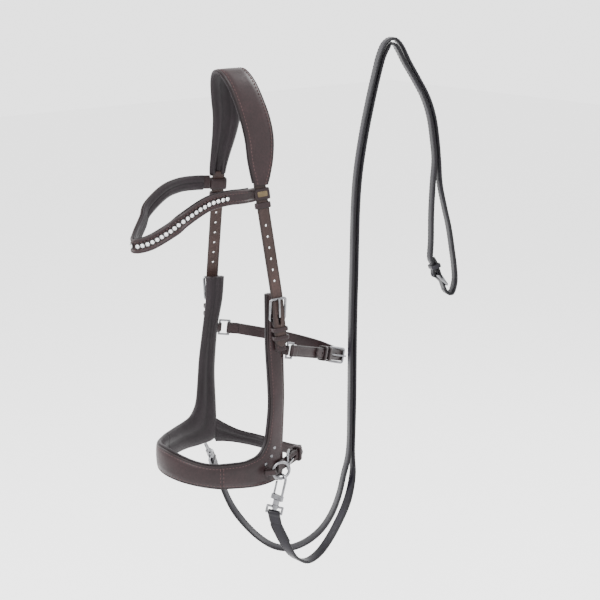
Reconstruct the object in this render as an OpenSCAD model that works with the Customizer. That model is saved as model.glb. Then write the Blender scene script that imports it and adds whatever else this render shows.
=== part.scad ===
// Bitless bridle with reins, hung by the crown. Millimetres, +Z up, the nose faces -Y,
// the horse's left side is +X. The origin is the underside of the crown at its middle.

/* [Leather] */
// Width of the crown straps, chapes and throat straps
strap_w = 17; // [16:0.5:17.5]
// Thickness of a single strap
strap_t = 3; // [2.4:0.2:3]
// Thickness of the soft padding
pad_t = 5; // [3:0.5:6]
// Width of the padded cheekpieces
cheek_w = 26; // [24:1:27]
// Height of the browband
brow_w = 18; // [16:1:20]
// Height of the chin strap
chin_w = 17; // [15:0.5:18]

/* [Noseband] */
// Width of the noseband from cheek to cheek
nose_w = 152; // [146:1:156]
// Length of the noseband from nose to chin
nose_l = 228; // [220:1:234]

/* [Browband stones] */
// Number of stones round the browband's front
stone_count = 43; // [21:2:43]
// Diameter of a stone
stone_d = 5.4; // [4:0.2:5.6]

/* [Metal] */
// Thickness of the buckle frames' bars
bar_d = 3.6; // [3:0.2:3.6]
// Outer diameter of the rein rings
ring_d = 28; // [26:1:30]
// Thickness of the rein rings' wire
ring_wire = 4; // [3:0.5:4]
// Distance between the two bars of a cheek buckle, along the strap
buckle_l = 30; // [27:1:31]

/* [Reins] */
// Width of a rein
rein_w = 15; // [13:1:16]
// Thickness of a rein
rein_t = 4; // [3:0.5:4]

/* [Hidden] */
$fn = 32;

gap = 0.3;            // between neighbouring pieces of leather, and to the padding
fit = 0.05;           // a bar in its prong's eye
drop = 6;             // the heel bar's middle below the strap's middle
rise = strap_t / 2 + gap + bar_d / 2;   // the tip bar's middle above it
steps = 3;            // stations between two points of a leather route
LEFT = 1;
RIGHT = -1;

leather = [0.20, 0.12, 0.12];
brown = [0.33, 0.20, 0.16];
black = [0.10, 0.09, 0.11];
steel = [0.72, 0.73, 0.75];

// ---- curves and skins ----
function unit(v) = v / norm(v);
function clamp(x, lo, hi) = min(max(x, lo), hi);
function curve(p, i, t) = let (a = p[max(i - 1, 0)], b = p[i], c = p[i + 1], d = p[min(i + 2, len(p) - 1)])
    0.5 * (2 * b + (c - a) * t + (2 * a - 5 * b + 4 * c - d) * t * t + (3 * b - a - 3 * c + d) * t * t * t);
function smooth(p, n) =
    concat([for (i = [0 : len(p) - 2]) for (k = [0 : n - 1]) curve(p, i, k / n)], [p[len(p) - 1]]);
function flip(p) = [for (i = [len(p) - 1 : -1 : 0]) p[i]];
function middle(row) = (row[0] + row[1]) / 2;
function along(rows, i) = unit(middle(rows[min(i + 1, len(rows) - 1)]) - middle(rows[max(i - 1, 0)]));

// the eight corners of a strap's section: c its middle, s across, n outward, w wide, t thick
function section(c, s, n, w, t) = let (h = w / 2, k = t / 2, b = 0.3 * t)
    [for (q = [[h, k - b], [h - b, k], [b - h, k], [-h, k - b], [-h, b - k], [b - h, -k], [h - b, -k], [h, b - k]])
        c + s * q[0] + n * q[1]];

// a closed skin over rings that all have the same number of points
module skin(rings) {
    m = len(rings[0]);
    sides = [for (i = [0 : len(rings) - 2]) for (j = [0 : m - 1]) let (k = (j + 1) % m)
        each [[i * m + j, (i + 1) * m + j, (i + 1) * m + k], [i * m + j, (i + 1) * m + k, i * m + k]]];
    ends = [[for (j = [0 : m - 1]) j], [for (j = [m - 1 : -1 : 0]) (len(rings) - 1) * m + j]];
    polyhedron(points = [for (r = rings) each r], faces = concat(sides, ends));
}

// leather between two edges, from row a to row b: each row is [front or upper edge, rear or lower edge]
module strip(rows, t, off = 0, extra = 0, a = 0, b = -1) {
    rings = [for (i = [a : b < 0 ? len(rows) - 1 : b])
        let (s = unit(rows[i][1] - rows[i][0]), n = unit(cross(along(rows, i), s)))
        section(middle(rows[i]) + n * off, s, n, norm(rows[i][1] - rows[i][0]) + 2 * extra, t)];
    skin(rings);
}

// the two edges of an upright strap at [x, y, z, width, turn], on the left or the right side
function edges(q, side) = let (c = [side * q[0], q[1], q[2]], s = [side * sin(q[4]), cos(q[4]), 0] * q[3] / 2)
    [c - s, c + s];

// ---- placing exact pieces ----
// local axes: x across, y along, z outward; y and z are given, o is the place
module place(o, y, z) {
    v = unit(y);
    u = unit(cross(v, z));
    w = cross(u, v);
    multmatrix([[u[0], v[0], w[0], o[0]], [u[1], v[1], w[1], o[1]], [u[2], v[2], w[2], o[2]], [0, 0, 0, 1]])
        children();
}
module on_side(side) {
    if (side == LEFT)
        children();
    else
        mirror([1, 0, 0]) children();
}
module rod(p, q, r) {
    d = q - p;
    translate(p)
        rotate([0, acos(d[2] / norm(d)), atan2(d[1], d[0])])
            cylinder(r = r, h = norm(d));
}
// a rounded rectangle in the x-y plane, standing h high on z = 0
module plate(w, l, h, r) {
    union() {
        translate([-w / 2 + r, -l / 2, 0])
            cube([w - 2 * r, l, h]);
        translate([-w / 2, -l / 2 + r, 0])
            cube([w, l - 2 * r, h]);
        for (x = [-1, 1], y = [-1, 1])
            translate([x * (w / 2 - r), y * (l / 2 - r), 0])
                cylinder(r = r, h = h);
    }
}
// a straight strap along y from y0 to y1; z = 0 is its middle
module straight(w, t, y0, y1) {
    translate([-w / 2, y0, -t / 2])
        cube([w, y1 - y0, t]);
}
module slot(w, y0, y1) {
    for (y = [y0 + w / 2, y1 - w / 2])
        translate([0, y, -20])
            cylinder(d = w, h = 40);
    translate([-w / 2, y0 + w / 2, -20])
        cube([w, y1 - y0 - w, 40]);
}

// ---- buckles ----
// local y points from the heel bar to the tip bar, z away from the horse, z = 0 is the strap's middle
module buckle_frame(w, l, r) {
    up = rise + drop;
    tilt = atan2(up, l);
    len_ = norm([up, l]);
    hw = w / 2 + 0.6 + r;
    rc = 3;
    translate([0, 0, -drop])
        rotate([tilt, 0, 0]) {
            for (y = [0, len_])
                rod([-hw + rc, y, 0], [hw - rc, y, 0], r);
            for (x = [-hw, hw])
                rod([x, rc, 0], [x, len_ - rc, 0], r);
            for (c = [[1, 1, 0], [-1, 1, 90], [-1, -1, 180], [1, -1, 270]])
                translate([c[0] * (hw - rc), len_ / 2 + c[1] * (len_ / 2 - rc), 0])
                    rotate([0, 0, c[2]])
                        rotate_extrude(angle = 90)
                            translate([rc, 0])
                                circle(r);
        }
}
// the two sides of a bent bar through a, b and c, h to either side
function bent(a, b, c, h) = let (p = unit(b - a), q = unit(c - b), n = [-p[1], p[0]], m = [-q[1], q[0]],
    k = (n + m) / (1 + n * m)) [a + n * h, b + k * h, c + m * h, c - m * h, b - k * h, a - n * h];
module prong(l, r) {
    thick = 2.4;
    heel = [0, -drop];
    knee = [5, strap_t / 2 + 1.4];
    tip = [l + 1.5, rise + r + 1.6 + fit];
    root = heel + unit(knee - heel) * (r + 0.7);
    translate([-thick / 2, 0, 0])
        rotate([90, 0, 90])
            linear_extrude(thick)
                difference() {
                    union() {
                        translate(heel)
                            circle(r + 1.3);
                        polygon(bent(root, knee, tip, 1.1));
                    }
                    translate(heel)
                        circle(r + fit);
                }
}
// leather folded round the heel bar and stitched to itself, down to y = -l
module chape(w, l, r) {
    outer = r + 2.4;
    top = -drop + outer;
    difference() {
        translate([-w / 2, 0, 0])
            rotate([90, 0, 90])
                linear_extrude(w)
                    difference() {
                        union() {
                            translate([0, -drop])
                                circle(outer);
                            polygon([[0, top], [-l, top], [-l, top - 5], [-9, top - 5], [-2, -drop - outer + 0.4],
                                [0, -drop - outer + 0.4]]);
                        }
                        translate([0, -drop])
                            circle(r + fit);
                    }
        translate([-2.3, -5, -drop - 6])
            cube([4.6, 12, 12]);
    }
}
// a leather loop round strap and chape; below is its inner depth under the strap's middle
module keeper(w, l, below, y, above = strap_t / 2 + gap + 0.1) {
    inner = w + 1;
    wall = 2;
    translate([0, y - l / 2, 0])
        rotate([-90, 0, 0])
            translate([0, (below - above) / 2, 0])
                difference() {
                    plate(inner + 2 * wall, above + below + 2 * wall, l, 2);
                    translate([-inner / 2, -(above + below) / 2, -1])
                        cube([inner, above + below, l + 2]);
                }
}
below_chape = drop - (bar_d / 2 + 2.4) + 5 + gap;   // inner depth of a keeper that also takes the chape

// ---- crown ----
// half of the crown leather's route: [x, y, z, width, turn]
crown_half = [[0, 0, 4.5, 44, 0], [11, 1, 0.5, 44, 0], [21, 5, -13, 45, 0], [28.5, 11, -35, 45, 2],
    [33.5, 17, -59, 45, 4], [38.5, 19.5, -84, 43, 5], [43.5, 17, -110, 38, 6], [47.5, 14, -130, 28, 10],
    [49.2, 12.5, -143, 20, 14]];
// the right half hangs with a little more waist and twist
far_half = [[0, 0, 4.5, 44, 0], [11, 1, 0.5, 43, 0], [21, 5.5, -13, 43, 0], [28.5, 12, -35, 42, -3],
    [33.5, 18, -59, 41, -6], [38.5, 18, -84, 36, -7], [43.5, 15, -110, 29, -8], [47.5, 13, -130, 23, -14],
    [49.2, 12.5, -143, 20, -20]];
crown_rows = smooth(concat([for (q = flip(far_half)) edges(q, RIGHT)],
    [for (i = [1 : len(crown_half) - 1]) edges(crown_half[i], LEFT)]), steps);
module crown_leather() {
    color(leather)
        strip(crown_rows, strap_t);
}
module crown_padding() {
    rows = [for (i = [6 : len(crown_rows) - 7]) crown_rows[i]];
    color(black)
        strip(rows, pad_t - 2, -(strap_t + pad_t - 2) / 2 - gap, 1);
}

// the crown strap's middle line, mirrored for the right side: top, bend, heel bar
strap_top = [42.5, 12, -128];
strap_bend = [72.6, 18.7, -290];
strap_heel = [76.5, 19.7, -324];
turn_of = [14, -20];                // turn of the left and the right strap about Z
function turn(side) = side == LEFT ? turn_of[0] : turn_of[1];
function outward(side) = [cos(turn(side)), -sin(turn(side)), 0];
strap_end = 36;                     // strap below the heel bar
upper_l = norm(strap_top - strap_bend);

module at_buckle(side) {
    on_side(side)
        place(strap_heel, strap_bend - strap_heel, outward(side))
            children();
}
module at_strap(side, below_top) {
    up = unit(strap_top - strap_bend);
    on_side(side)
        place(strap_top - up * below_top, up, outward(side))
            children();
}
module crown_strap(side) {
    hole_pitch = 15;
    color(brown) {
        difference() {
            at_strap(side, 0)
                straight(strap_w, strap_t, -upper_l - 0.2, 0);
            for (i = [0 : 5])
                at_strap(side, 70 + i * hole_pitch)
                    translate([0, 0, -5])
                        cylinder(d = 3.5, h = 10);
        }
        at_buckle(side)
            difference() {
                union() {
                    straight(strap_w, strap_t, -strap_end + 6, norm(strap_bend - strap_heel));
                    translate([0, -strap_end + 6, -strap_t / 2])
                        cylinder(d = strap_w, h = strap_t);
                }
                slot(3.6, -6.5, 8);
            }
    }
}
keeper_at = 43;          // the keepers' place below the crown strap's top
module crown_keepers() {
    color(leather)
        for (side = [LEFT, RIGHT])
            at_strap(side, keeper_at)
                keeper(strap_w, 8, strap_t / 2 + gap, 0);
}

// ---- cheek buckles ----
module buckle_frame_of(side) {
    color(steel)
        at_buckle(side)
            buckle_frame(strap_w, buckle_l, bar_d / 2);
}
module buckle_prong_of(side) {
    color(steel)
        at_buckle(side)
            prong(buckle_l, bar_d / 2);
}
module cheek_chape(side) {
    color(leather)
        at_buckle(side)
            chape(15, 42, bar_d / 2);
}
module fixed_keeper(side) {
    color(leather)
        at_buckle(side)
            keeper(strap_w, 6, below_chape, -12.5);
}
module runner(side) {
    color(leather)
        at_buckle(side)
            keeper(strap_w, 6, below_chape, -24);
}

// ---- browband ----
brow_half = [[0, -157, -209], [17, -144, -204], [33, -122, -188.5], [43, -107, -174.5], [49.5, -76, -158],
    [54, -48, -153], [54.5, -22, -153.5], [48.5, -0.5, -154.5]];
brow_up = [0, 0, 0, 0.8, 2, 2.6, 3, 3];   // how much higher the band hangs on its right half
// [x, y, z] of the middle line from the right loop round the front to the left one
brow_line = flip(concat([for (i = [len(brow_half) - 1 : -1 : 0])
        [-brow_half[i][0], brow_half[i][1], brow_half[i][2] + brow_up[i]]],
    [for (i = [1 : len(brow_half) - 1]) brow_half[i]]));
function brow_edges(p) = [for (i = [0 : len(p) - 1])
    let (t = unit(p[min(i + 1, len(p) - 1)] - p[max(i - 1, 0)]), s = unit([0, 0, 1] - t * t[2]))
    [p[i] + s * brow_w / 2, p[i] - s * brow_w / 2]];
brow_path = smooth(brow_line, steps);
brow_rows = brow_edges(brow_path);
module browband_leather() {
    color(leather)
        strip(brow_rows, strap_t);
}
module browband_padding() {
    rows = [for (i = [3 : len(brow_rows) - 4]) brow_rows[i]];
    color(black)
        strip(rows, 3, -strap_t / 2 - 2 * gap - 1.5, 1);
}
loop_at = [28, 27];      // the left and the right loop's place below the crown strap's top
module browband_loops() {
    color(leather)
        for (side = [LEFT, RIGHT])
            at_strap(side, pick(side, loop_at))
                keeper(strap_w + 1.6, 15, strap_t / 2 + 1.3, 0, strap_t / 2 + 1.3);
}
module browband_plate() {
    color(steel)
        at_strap(LEFT, loop_at[0])
            translate([0, 0, strap_t / 2 + 3.3])
                plate(14, 7, 0.8, 1.5);
}
// stones at an even pitch along the browband's front, on its middle line
stone_pitch = stone_d + 1.3;
lengths = [for (i = 0, s = 0; i < len(brow_path);
    s = s + (i < len(brow_path) - 1 ? norm(brow_path[i + 1] - brow_path[i]) : 0), i = i + 1) s];
brow_mid = (len(brow_path) - 1) / 2;
function at_length(s) = let (i = max([for (k = [0 : len(lengths) - 2]) lengths[k] <= s ? k : 0]))
    [i, (s - lengths[i]) / (lengths[i + 1] - lengths[i])];
function stone_spot(k) = let (a = at_length(lengths[brow_mid] + (k - (stone_count - 1) / 2) * stone_pitch),
    i = a[0], f = a[1]) [brow_path[i] * (1 - f) + brow_path[i + 1] * f, brow_path[i + 1] - brow_path[i],
    brow_rows[i][0] - brow_rows[i][1]];
module at_stone(k) {
    q = stone_spot(k);
    n = unit(cross(q[2], q[1]));
    place(q[0] + n * (strap_t / 2 + gap), q[1], n)
        children();
}
module stone_cups() {
    color(steel)
        for (k = [0 : stone_count - 1])
            at_stone(k)
                rotate_extrude($fn = 24)
                    polygon([[0, 0], [stone_d / 2 + 0.5, 0], [stone_d / 2 + 0.5, 1.4], [stone_d / 2, 1.4],
                        [stone_d / 2 - 0.3, 0.5], [0, 0.5]]);
}
module stones() {
    color([0.9, 0.93, 0.97])
        for (k = [0 : stone_count - 1])
            at_stone(k)
                rotate_extrude($fn = 24)
                    polygon([[0, 0.5], [stone_d / 2 - 0.3, 0.5], [stone_d / 2, 1.4], [stone_d * 0.3, 2.4],
                        [0, 2.4]]);
}

// ---- noseband ----
lean_turn = 4;          // the noseband hangs turned this far about Z
lean_drop = 7.5;        // and this much lower on the left cheek than in the middle
nose_y = -8;
// a point of the noseband: phi round it from the left cheek, z before it leans, off outward
function seat(phi, z, off = 0) = let (x = (nose_w / 2 + off) * cos(phi), y = (nose_l / 2 + off) * sin(phi))
    [x * cos(lean_turn) - y * sin(lean_turn), nose_y + x * sin(lean_turn) + y * cos(lean_turn),
        z - lean_drop * cos(phi)];
function seat_out(phi) = unit(seat(phi, 0, 1) - seat(phi, 0));
// uprights down the cheeks: [x, y, z, width, turn], the right one is mirrored
left_upright = [[62.7, 22, -290, 23, 14], [64.2, 22.3, -324, cheek_w - 1, 14], [67.6, 19.6, -362, cheek_w - 1, 10],
    [73.3, 17.5, -410, cheek_w - 1, 0], [75.2, 16.5, -445, cheek_w, -6]];
right_upright = [[63, 15.5, -290, 24, -20], [65, 14.5, -324, 22, -18], [69.2, 10, -362, 20, -14],
    [73.3, 6, -410, 23, -8], [75.3, 5, -440, cheek_w - 1, -5]];
// the turn forward into the noseband: [inner phi, inner z, outer phi, outer z]
cheek_turn = [[1, -478, 16.5, -496], [-1.5, -492, 16.5, -527], [-6, -502, 14.5, -543], [-13, -506, 4, -547],
    [-22, -507.5, -12, -545.5], [-37, -507, -37, -541]];
seam = 37;
function turn_row(q, side) = let (a = side == LEFT ? 0 : 180)
    [seat(a + side * q[0], q[1]), seat(a + side * q[2], q[3])];
function cheek_rows(side) = let (up = side == LEFT ? left_upright : right_upright)
    smooth(concat([for (q = up) edges(q, side)], [for (q = cheek_turn) turn_row(q, side)]), steps);
nose_lift = [13, 8.5];  // how much higher the nose piece's two edges are in front than at its seams
nose_steps = 20;
// the whole band: down the left cheek, round the nose between the seams and up the right cheek
left_rows = cheek_rows(LEFT);
nose_rows = [for (i = [1 : nose_steps - 1])
    let (phi = -seam - i * (180 - 2 * seam) / nose_steps, arch = sin(180 * i / nose_steps))
        [seat(phi, -507 + nose_lift[0] * arch ^ 2), seat(phi, -541 + nose_lift[1] * arch)]];
band_rows = concat(left_rows, nose_rows, flip(cheek_rows(RIGHT)));
left_seam = len(left_rows) - 1;
right_seam = left_seam + nose_steps;
pad_off = -(strap_t + pad_t) / 2 - gap;
module cheek_leather(side) {
    color(leather)
        strip(band_rows, strap_t, 0, 0, side == LEFT ? 0 : right_seam, side == LEFT ? left_seam : -1);
}
module cheek_padding(side) {
    color(black)
        strip(band_rows, pad_t, pad_off, 1, side == LEFT ? 0 : right_seam, side == LEFT ? left_seam : -1);
}
module nose_leather() {
    color(leather)
        strip(band_rows, strap_t, 0, 0, left_seam, right_seam);
}
module nose_padding() {
    color(black)
        strip(band_rows, pad_t, pad_off, 1, left_seam, right_seam);
}

// ---- studs and rein rings ----
stud_spots = [[6.7, -497.5], [3.6, -508], [-1.6, -517]];
module at_seat(side, phi, z, off) {
    a = side == LEFT ? phi : 180 - phi;
    place(seat(a, z, off), [0, 0, 1], seat_out(a))
        children();
}
module cheek_studs() {
    color(steel)
        for (side = [LEFT, RIGHT], s = stud_spots)
            at_seat(side, s[0], s[1], strap_t / 2)
                rotate_extrude()
                    polygon([[0, -2], [1, -2], [1, 0], [2.6, 0], [2.3, 0.9], [1.4, 1.5], [0, 1.7]]);
}

ring_r = (ring_d - ring_wire) / 2;
ring_turn = 20;                                     // the rings face this far forward of square
ring_at = [[90, 11, -534], [90, 4, -526]];       // their middles; the right one is mirrored
hook_at = [86, 60];                                 // where the hook hangs, degrees below level, rearward
function pick(side, list) = side == LEFT ? list[0] : list[1];
ring_out = [cos(ring_turn), -sin(ring_turn), 0];
ring_back = [sin(ring_turn), cos(ring_turn), 0];
function hook_point(side) = let (a = pick(side, hook_at))
    pick(side, ring_at) + ring_r * (cos(a) * ring_back - [0, 0, sin(a)]);
module rein_ring(side) {
    color(steel)
        on_side(side)
            place(pick(side, ring_at), [0, 0, 1], ring_out)
                rotate_extrude()
                    translate([ring_r, 0])
                        circle(ring_wire / 2);
}
// a tab from the cheek's face round the ring's front
module rein_ring_tabs() {
    tab_w = 8;
    inner = ring_wire / 2 + 0.6;
    color(leather)
        for (side = [LEFT, RIGHT])
            on_side(side)
                place(pick(side, ring_at) - ring_r * ring_back, [0, 0, 1], ring_out)
                    translate([0, -tab_w / 2, 0])
                        rotate([-90, 0, 0])
                            linear_extrude(tab_w)
                                difference() {
                                    union() {
                                        circle(inner + 2);
                                        translate([-9, inner - 0.5])
                                            square([10, 2.5]);
                                    }
                                    circle(inner);
                                    translate([0, -1.4])
                                        square([8, 2.8]);
                                }
}

// ---- snap hooks; local origin: the ring's wire, +z up to it, the hook's plane is x-z ----
hang = [[-0.045, -0.24, -0.925], [0.1, 0.42, -0.88]];      // the way each hook hangs
hook_face = [-78, -72];          // the way the hook's plane looks, degrees about Z
eye_face = [-40, -40];           // and the swivel eye's
wire_r = 1.8;
bow_r = 7.1;
bow_z = -1.8;
module at_hook(side, face) {
    up = -unit(pick(side, hang));
    f = [cos(face), sin(face), 0];
    on_side(side)
        place(hook_point(side), f - up * (f * up), up)
            children();
}
module snap_hook(side) {
    color(steel)
        at_hook(side, pick(side, hook_face))
            difference() {
                union() {
                    translate([0, 0, bow_z])
                        rotate([90, 0, 0])
                            rotate_extrude(angle = 180)
                                translate([bow_r, 0])
                                    circle(wire_r);
                    rod([-bow_r, 0, bow_z], [-bow_r, 0, -26], wire_r);
                    rod([bow_r, 0, bow_z], [bow_r, 0, bow_z - 3], wire_r);
                    translate([-bow_r - wire_r, -2.5, -31])
                        cube([2 * (bow_r + wire_r), 5, 7]);
                    translate([0, 0, -37.5])
                        cylinder(r = 4.5, h = 7);
                    translate([0, 0, -45])
                        cylinder(r = 2.2, h = 8);
                    translate([0, 0, -45.2])
                        cylinder(r = 3.3, h = 2);
                }
                translate([bow_r - 4.5, -1.3, -29.5])
                    cube([8, 2.6, 10]);
            }
    color(steel)
        at_hook(side, pick(side, hook_face))
            translate([bow_r - 0.4, -2, -27])
                rotate([-90, 0, 0])
                    cylinder(r = 0.8, h = 4);
}
gate_x = bow_r - 0.4;
gate_z = -27;                    // the gate's pin
module snap_gate(side) {
    color(steel)
        at_hook(side, pick(side, hook_face))
            difference() {
                union() {
                    rod([gate_x, 0, gate_z + 3.6], [gate_x, 0, bow_z - 4.4], 1.5);
                    translate([gate_x - 1.2, -1.1, gate_z])
                        cube([2.4, 2.2, 4.4]);
                    translate([gate_x, -1.1, gate_z])
                        rotate([-90, 0, 0])
                            cylinder(r = 1.9, h = 2.2);
                }
                translate([gate_x, -3, gate_z])
                    rotate([-90, 0, 0])
                        cylinder(r = 0.85, h = 6);
            }
}
eye_w = strap_w + 1;             // inside of the eye across
eye_z = -50;                     // its lower bar
module swivel_eye(side) {
    hw = eye_w / 2 + 1.6;
    color(steel)
        at_hook(side, pick(side, eye_face))
            difference() {
                union() {
                    translate([0, 0, -42.8])
                        cylinder(r = 4.6, h = 5);
                    rod([-hw, 0, -41], [hw, 0, -41], 1.6);
                    for (x = [-hw, hw]) {
                        rod([x, 0, -41], [x, 0, eye_z], 1.6);
                        translate([x, 0, -41])
                            sphere(1.6);
                        translate([x, 0, eye_z])
                            sphere(1.6);
                    }
                    rod([-hw, 0, eye_z], [hw, 0, eye_z], 1.6);
                }
                translate([0, 0, -50])
                    cylinder(r = 2.25, h = 20);
            }
}

// ---- rein billets: leather folded round the eye's lower bar, its leaf leaning along the bar ----
billet_l = 14;
billet_way = [[0.10, 0.25, -0.96], [-0.15, 0.15, -0.97]];   // the way each billet leaves its eye
billet_lean = [-0.42, 0];                                   // how far it leans along the bar
function eye_bar(side) = hook_point(side) + unit(pick(side, hang)) * (-eye_z);
function eye_axis(side) = let (up = -unit(pick(side, hang)), a = pick(side, eye_face),
    f = [cos(a), sin(a), 0]) unit(cross(f, up));
// square to the eye's bar, down the leather
function square_way(side) = let (way = unit(pick(side, billet_way)), x = eye_axis(side)) unit(way - x * (way * x));
function lean_way(side) = unit(square_way(side) + eye_axis(side) * pick(side, billet_lean));
module rein_billet(side) {
    lean = pick(side, billet_lean);
    tip = [lean, -1] * billet_l / norm([lean, 1]);
    half = [1, lean] * strap_w / 2 / norm([lean, 1]);
    color(black)
        on_side(side)
            place(eye_bar(side), -square_way(side), cross(eye_axis(side), -square_way(side)))
                difference() {
                    union() {
                        translate([-strap_w / 2, 0, 0])
                            rotate([0, 90, 0])
                                cylinder(r = 4, h = strap_w);
                        translate([0, 0, -2.5])
                            linear_extrude(5)
                                polygon([[-strap_w / 2, 0], [strap_w / 2, 0], tip + half, tip - half]);
                    }
                    translate([-strap_w, 0, 0])
                        rotate([0, 90, 0])
                            cylinder(r = 1.6 + fit, h = 2 * strap_w);
                }
}

// ---- throat straps ----
throat_ring_at = [[74, 35, -370], [72, 29.5, -369]];     // front bars; the right one is mirrored
throat_w = 16;
throat_end = [36, 152, -409.5];            // heel bar of the throat buckle
throat_way = [-0.29, 0.92, -0.32];       // along the left throat strap, rearward
ring_span = 14;                          // between a throat ring's two bars
throat_bar = 1.5;
function throat_dir(side) = side == LEFT ? unit(throat_way) : unit([-0.5, 0.86, -0.12]);
function throat_out(side) = let (d = throat_dir(side)) unit([d[1], -d[0], 0]);
module at_throat_ring(side) {
    on_side(side)
        place(pick(side, throat_ring_at), throat_dir(side), throat_out(side))
            children();
}
module throat_ring(side) {
    hw = throat_w / 2 + 0.8 + throat_bar;
    color(steel)
        at_throat_ring(side) {
            for (y = [0, ring_span])
                rod([-hw, y, 0], [hw, y, 0], throat_bar);
            for (x = [-hw, hw]) {
                rod([x, 0, 0], [x, ring_span, 0], throat_bar);
                for (y = [0, ring_span])
                    translate([x, y, 0])
                        sphere(throat_bar);
            }
        }
}
// a fold of leather round a bar at the origin, with its flat leaf on -y
module fold(w, l, r, t) {
    translate([-w / 2, 0, 0])
        rotate([90, 0, 90])
            linear_extrude(w)
                difference() {
                    union() {
                        circle(r + t);
                        translate([-l, -r - t])
                            square([l, 2 * t + r]);
                    }
                    circle(r + fit);
                }
}
tab_turn = [40, 44];              // the tabs' turn inward, toward the cheekpieces
tab_l = [1.2, 3];
module throat_ring_tabs() {
    color(leather)
        for (side = [LEFT, RIGHT])
            at_throat_ring(side)
                rotate([pick(side, tab_turn), 0, 0])
                    fold(13, pick(side, tab_l), throat_bar, 1.6);
}
module at_throat_buckle() {
    place(throat_end, unit(throat_way), throat_out(LEFT))
        children();
}
throat_l = 24;
module left_throat_strap() {
    start = throat_ring_at[0] + ring_span * throat_dir(LEFT);
    span = norm(throat_end - start);
    color(leather) {
        place(start, start - throat_end, throat_out(LEFT))
            fold(throat_w - 1, 14, throat_bar, 1.8);
        place(start, throat_end - start, throat_out(LEFT))
            translate([0, 0, -3.8])
                straight(throat_w - 1, 3, 5, span - 26);
        at_throat_buckle()
            chape(14.5, 30, bar_d / 2);
    }
}
module throat_buckle_frame() {
    color(steel)
        at_throat_buckle()
            buckle_frame(throat_w, throat_l, bar_d / 2);
}
module throat_buckle_prong() {
    color(steel)
        at_throat_buckle()
            prong(throat_l, bar_d / 2);
}
module throat_keeper() {
    color(leather)
        at_throat_buckle()
            keeper(throat_w, 6, below_chape, -13);
}
module throat_runner() {
    color(leather)
        at_throat_buckle()
            keeper(throat_w, 6, below_chape, -25);
}
billet_back = 48;                // billet beyond the heel bar, back along the left strap
module throat_billet() {
    color(leather)
        at_throat_buckle()
            difference() {
                straight(throat_w, strap_t, -billet_back, throat_l + 2.8);
                slot(3.6, -6.5, 8);
                for (y = [-18, -33])
                    translate([0, y, -5])
                        cylinder(d = 3.5, h = 10);
            }
}
module right_throat_strap() {
    d = throat_dir(RIGHT);
    far = throat_ring_at[1] + ring_span * d;
    start = [-far[0], far[1], far[2]];
    meet = throat_end + unit(throat_way) * (throat_l + 4);
    line = [start + [4, 7, -1], [-44, 72, -377.5], [-22, 110, -388], [0, 148, -402], [10, 168, -412],
        [20, 181, -418.5], meet];
    path = smooth(line, steps);
    rows = [for (i = [0 : len(path) - 1])
        let (t = i == len(path) - 1 ? -unit(throat_way) : unit(path[i + 1] - path[max(i - 1, 0)]),
            s = unit([0, 0, -1] + t * t[2]))
        [path[i] - s * throat_w / 2, path[i] + s * throat_w / 2]];
    color(leather) {
        strip(rows, strap_t);
        on_side(RIGHT)
            place(far, -d, throat_out(RIGHT))
                fold(throat_w, 12, throat_bar, 1.8);
    }
}

// ---- chin strap ----
chin_l = 20;
chin_heel = 28;                  // phi of the chin buckle's heel bar
chin_z = -526;
// the strap's way round the chin: [phi, height, how far outside the noseband's line, width]
chin_up = [[163, -531, 0, 34], [154, -538.5, 0, 25], [142, -547, 0, chin_w + 1], [125, -554, 0, chin_w],
    [100, -557.5, 0, chin_w], [78, -551, 0, chin_w], [56, -537, 1.5, chin_w], [42, -527, 3.2, chin_w]];
module at_chin_buckle() {
    place(seat(chin_heel, chin_z, 3.6), seat(chin_heel - 10, chin_z, 3) - seat(chin_heel, chin_z, 3.6),
        seat_out(chin_heel - 4))
        children();
}
module right_chin_strap() {
    rows = smooth([for (q = chin_up) [seat(q[0], q[1] + q[3] / 2, q[2]), seat(q[0], q[1] - q[3] / 2, q[2])]], steps);
    color(leather) {
        strip(flip(rows), strap_t);
        at_chin_buckle()
            chape(15, 25, bar_d / 2);
    }
}
module chin_billet() {
    color(leather)
        at_chin_buckle()
            difference() {
                straight(chin_w - 1, strap_t, -24, chin_l + 20);
                slot(3.6, -6.5, 8);
            }
}
module chin_buckle_frame() {
    color(steel)
        at_chin_buckle()
            buckle_frame(chin_w - 1, chin_l, bar_d / 2);
}
module chin_buckle_prong() {
    color(steel)
        at_chin_buckle()
            prong(chin_l, bar_d / 2);
}
module chin_runner() {
    color(leather)
        at_chin_buckle()
            keeper(chin_w - 1, 6, below_chape, -15);
}

// ---- reins: flat leather hung over a peg, in one upright plane ----
rein_plane = 50;                 // the plane's turn from X
plane_at = -30;                  // its distance from the origin, rearward and left
pair_gap = 1.6;                    // between the two reins where they lie together
plane_x = [cos(rein_plane), sin(rein_plane), 0];
plane_n = [sin(rein_plane), -cos(rein_plane), 0];
function hung(q) = plane_x * q[0] + plane_n * plane_at + [0, 0, q[1]];
// middle line of the pair, [distance out, height]: up, over the peg and down
pair = [[165, -540], [166, -465], [166, -350], [167, -272], [168, -190], [171, -138], [178, -86], [186, -42],
    [194, -4], [200, 20], [207, 35], [215, 39], [223, 32], [234, 11], [247, -11], [260, -35], [269, -62],
    [274, -92], [277, -120]];
function ramp(i, from, to) = clamp((i - from) / (to - from), 0, 1);
lean_side = unit([1, 0, 0] + plane_n);   // along the width of the two reins where they hang together
over_peg = 11;                   // the pair's point over the peg, where the two reins stand apart a little more
function spread(i) = 1 + 0.25 * clamp(1 - abs(i - over_peg) / 3, 0, 1);
function pair_line(off) = [for (i = [0 : len(pair) - 1])
    let (t = unit(hung(pair[min(i + 1, len(pair) - 1)]) - hung(pair[max(i - 1, 0)])))
        hung(pair[i]) - off * spread(i) * unit(cross(t, lean_side))];
half_pair = (rein_t + pair_gap) / 2;
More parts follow.
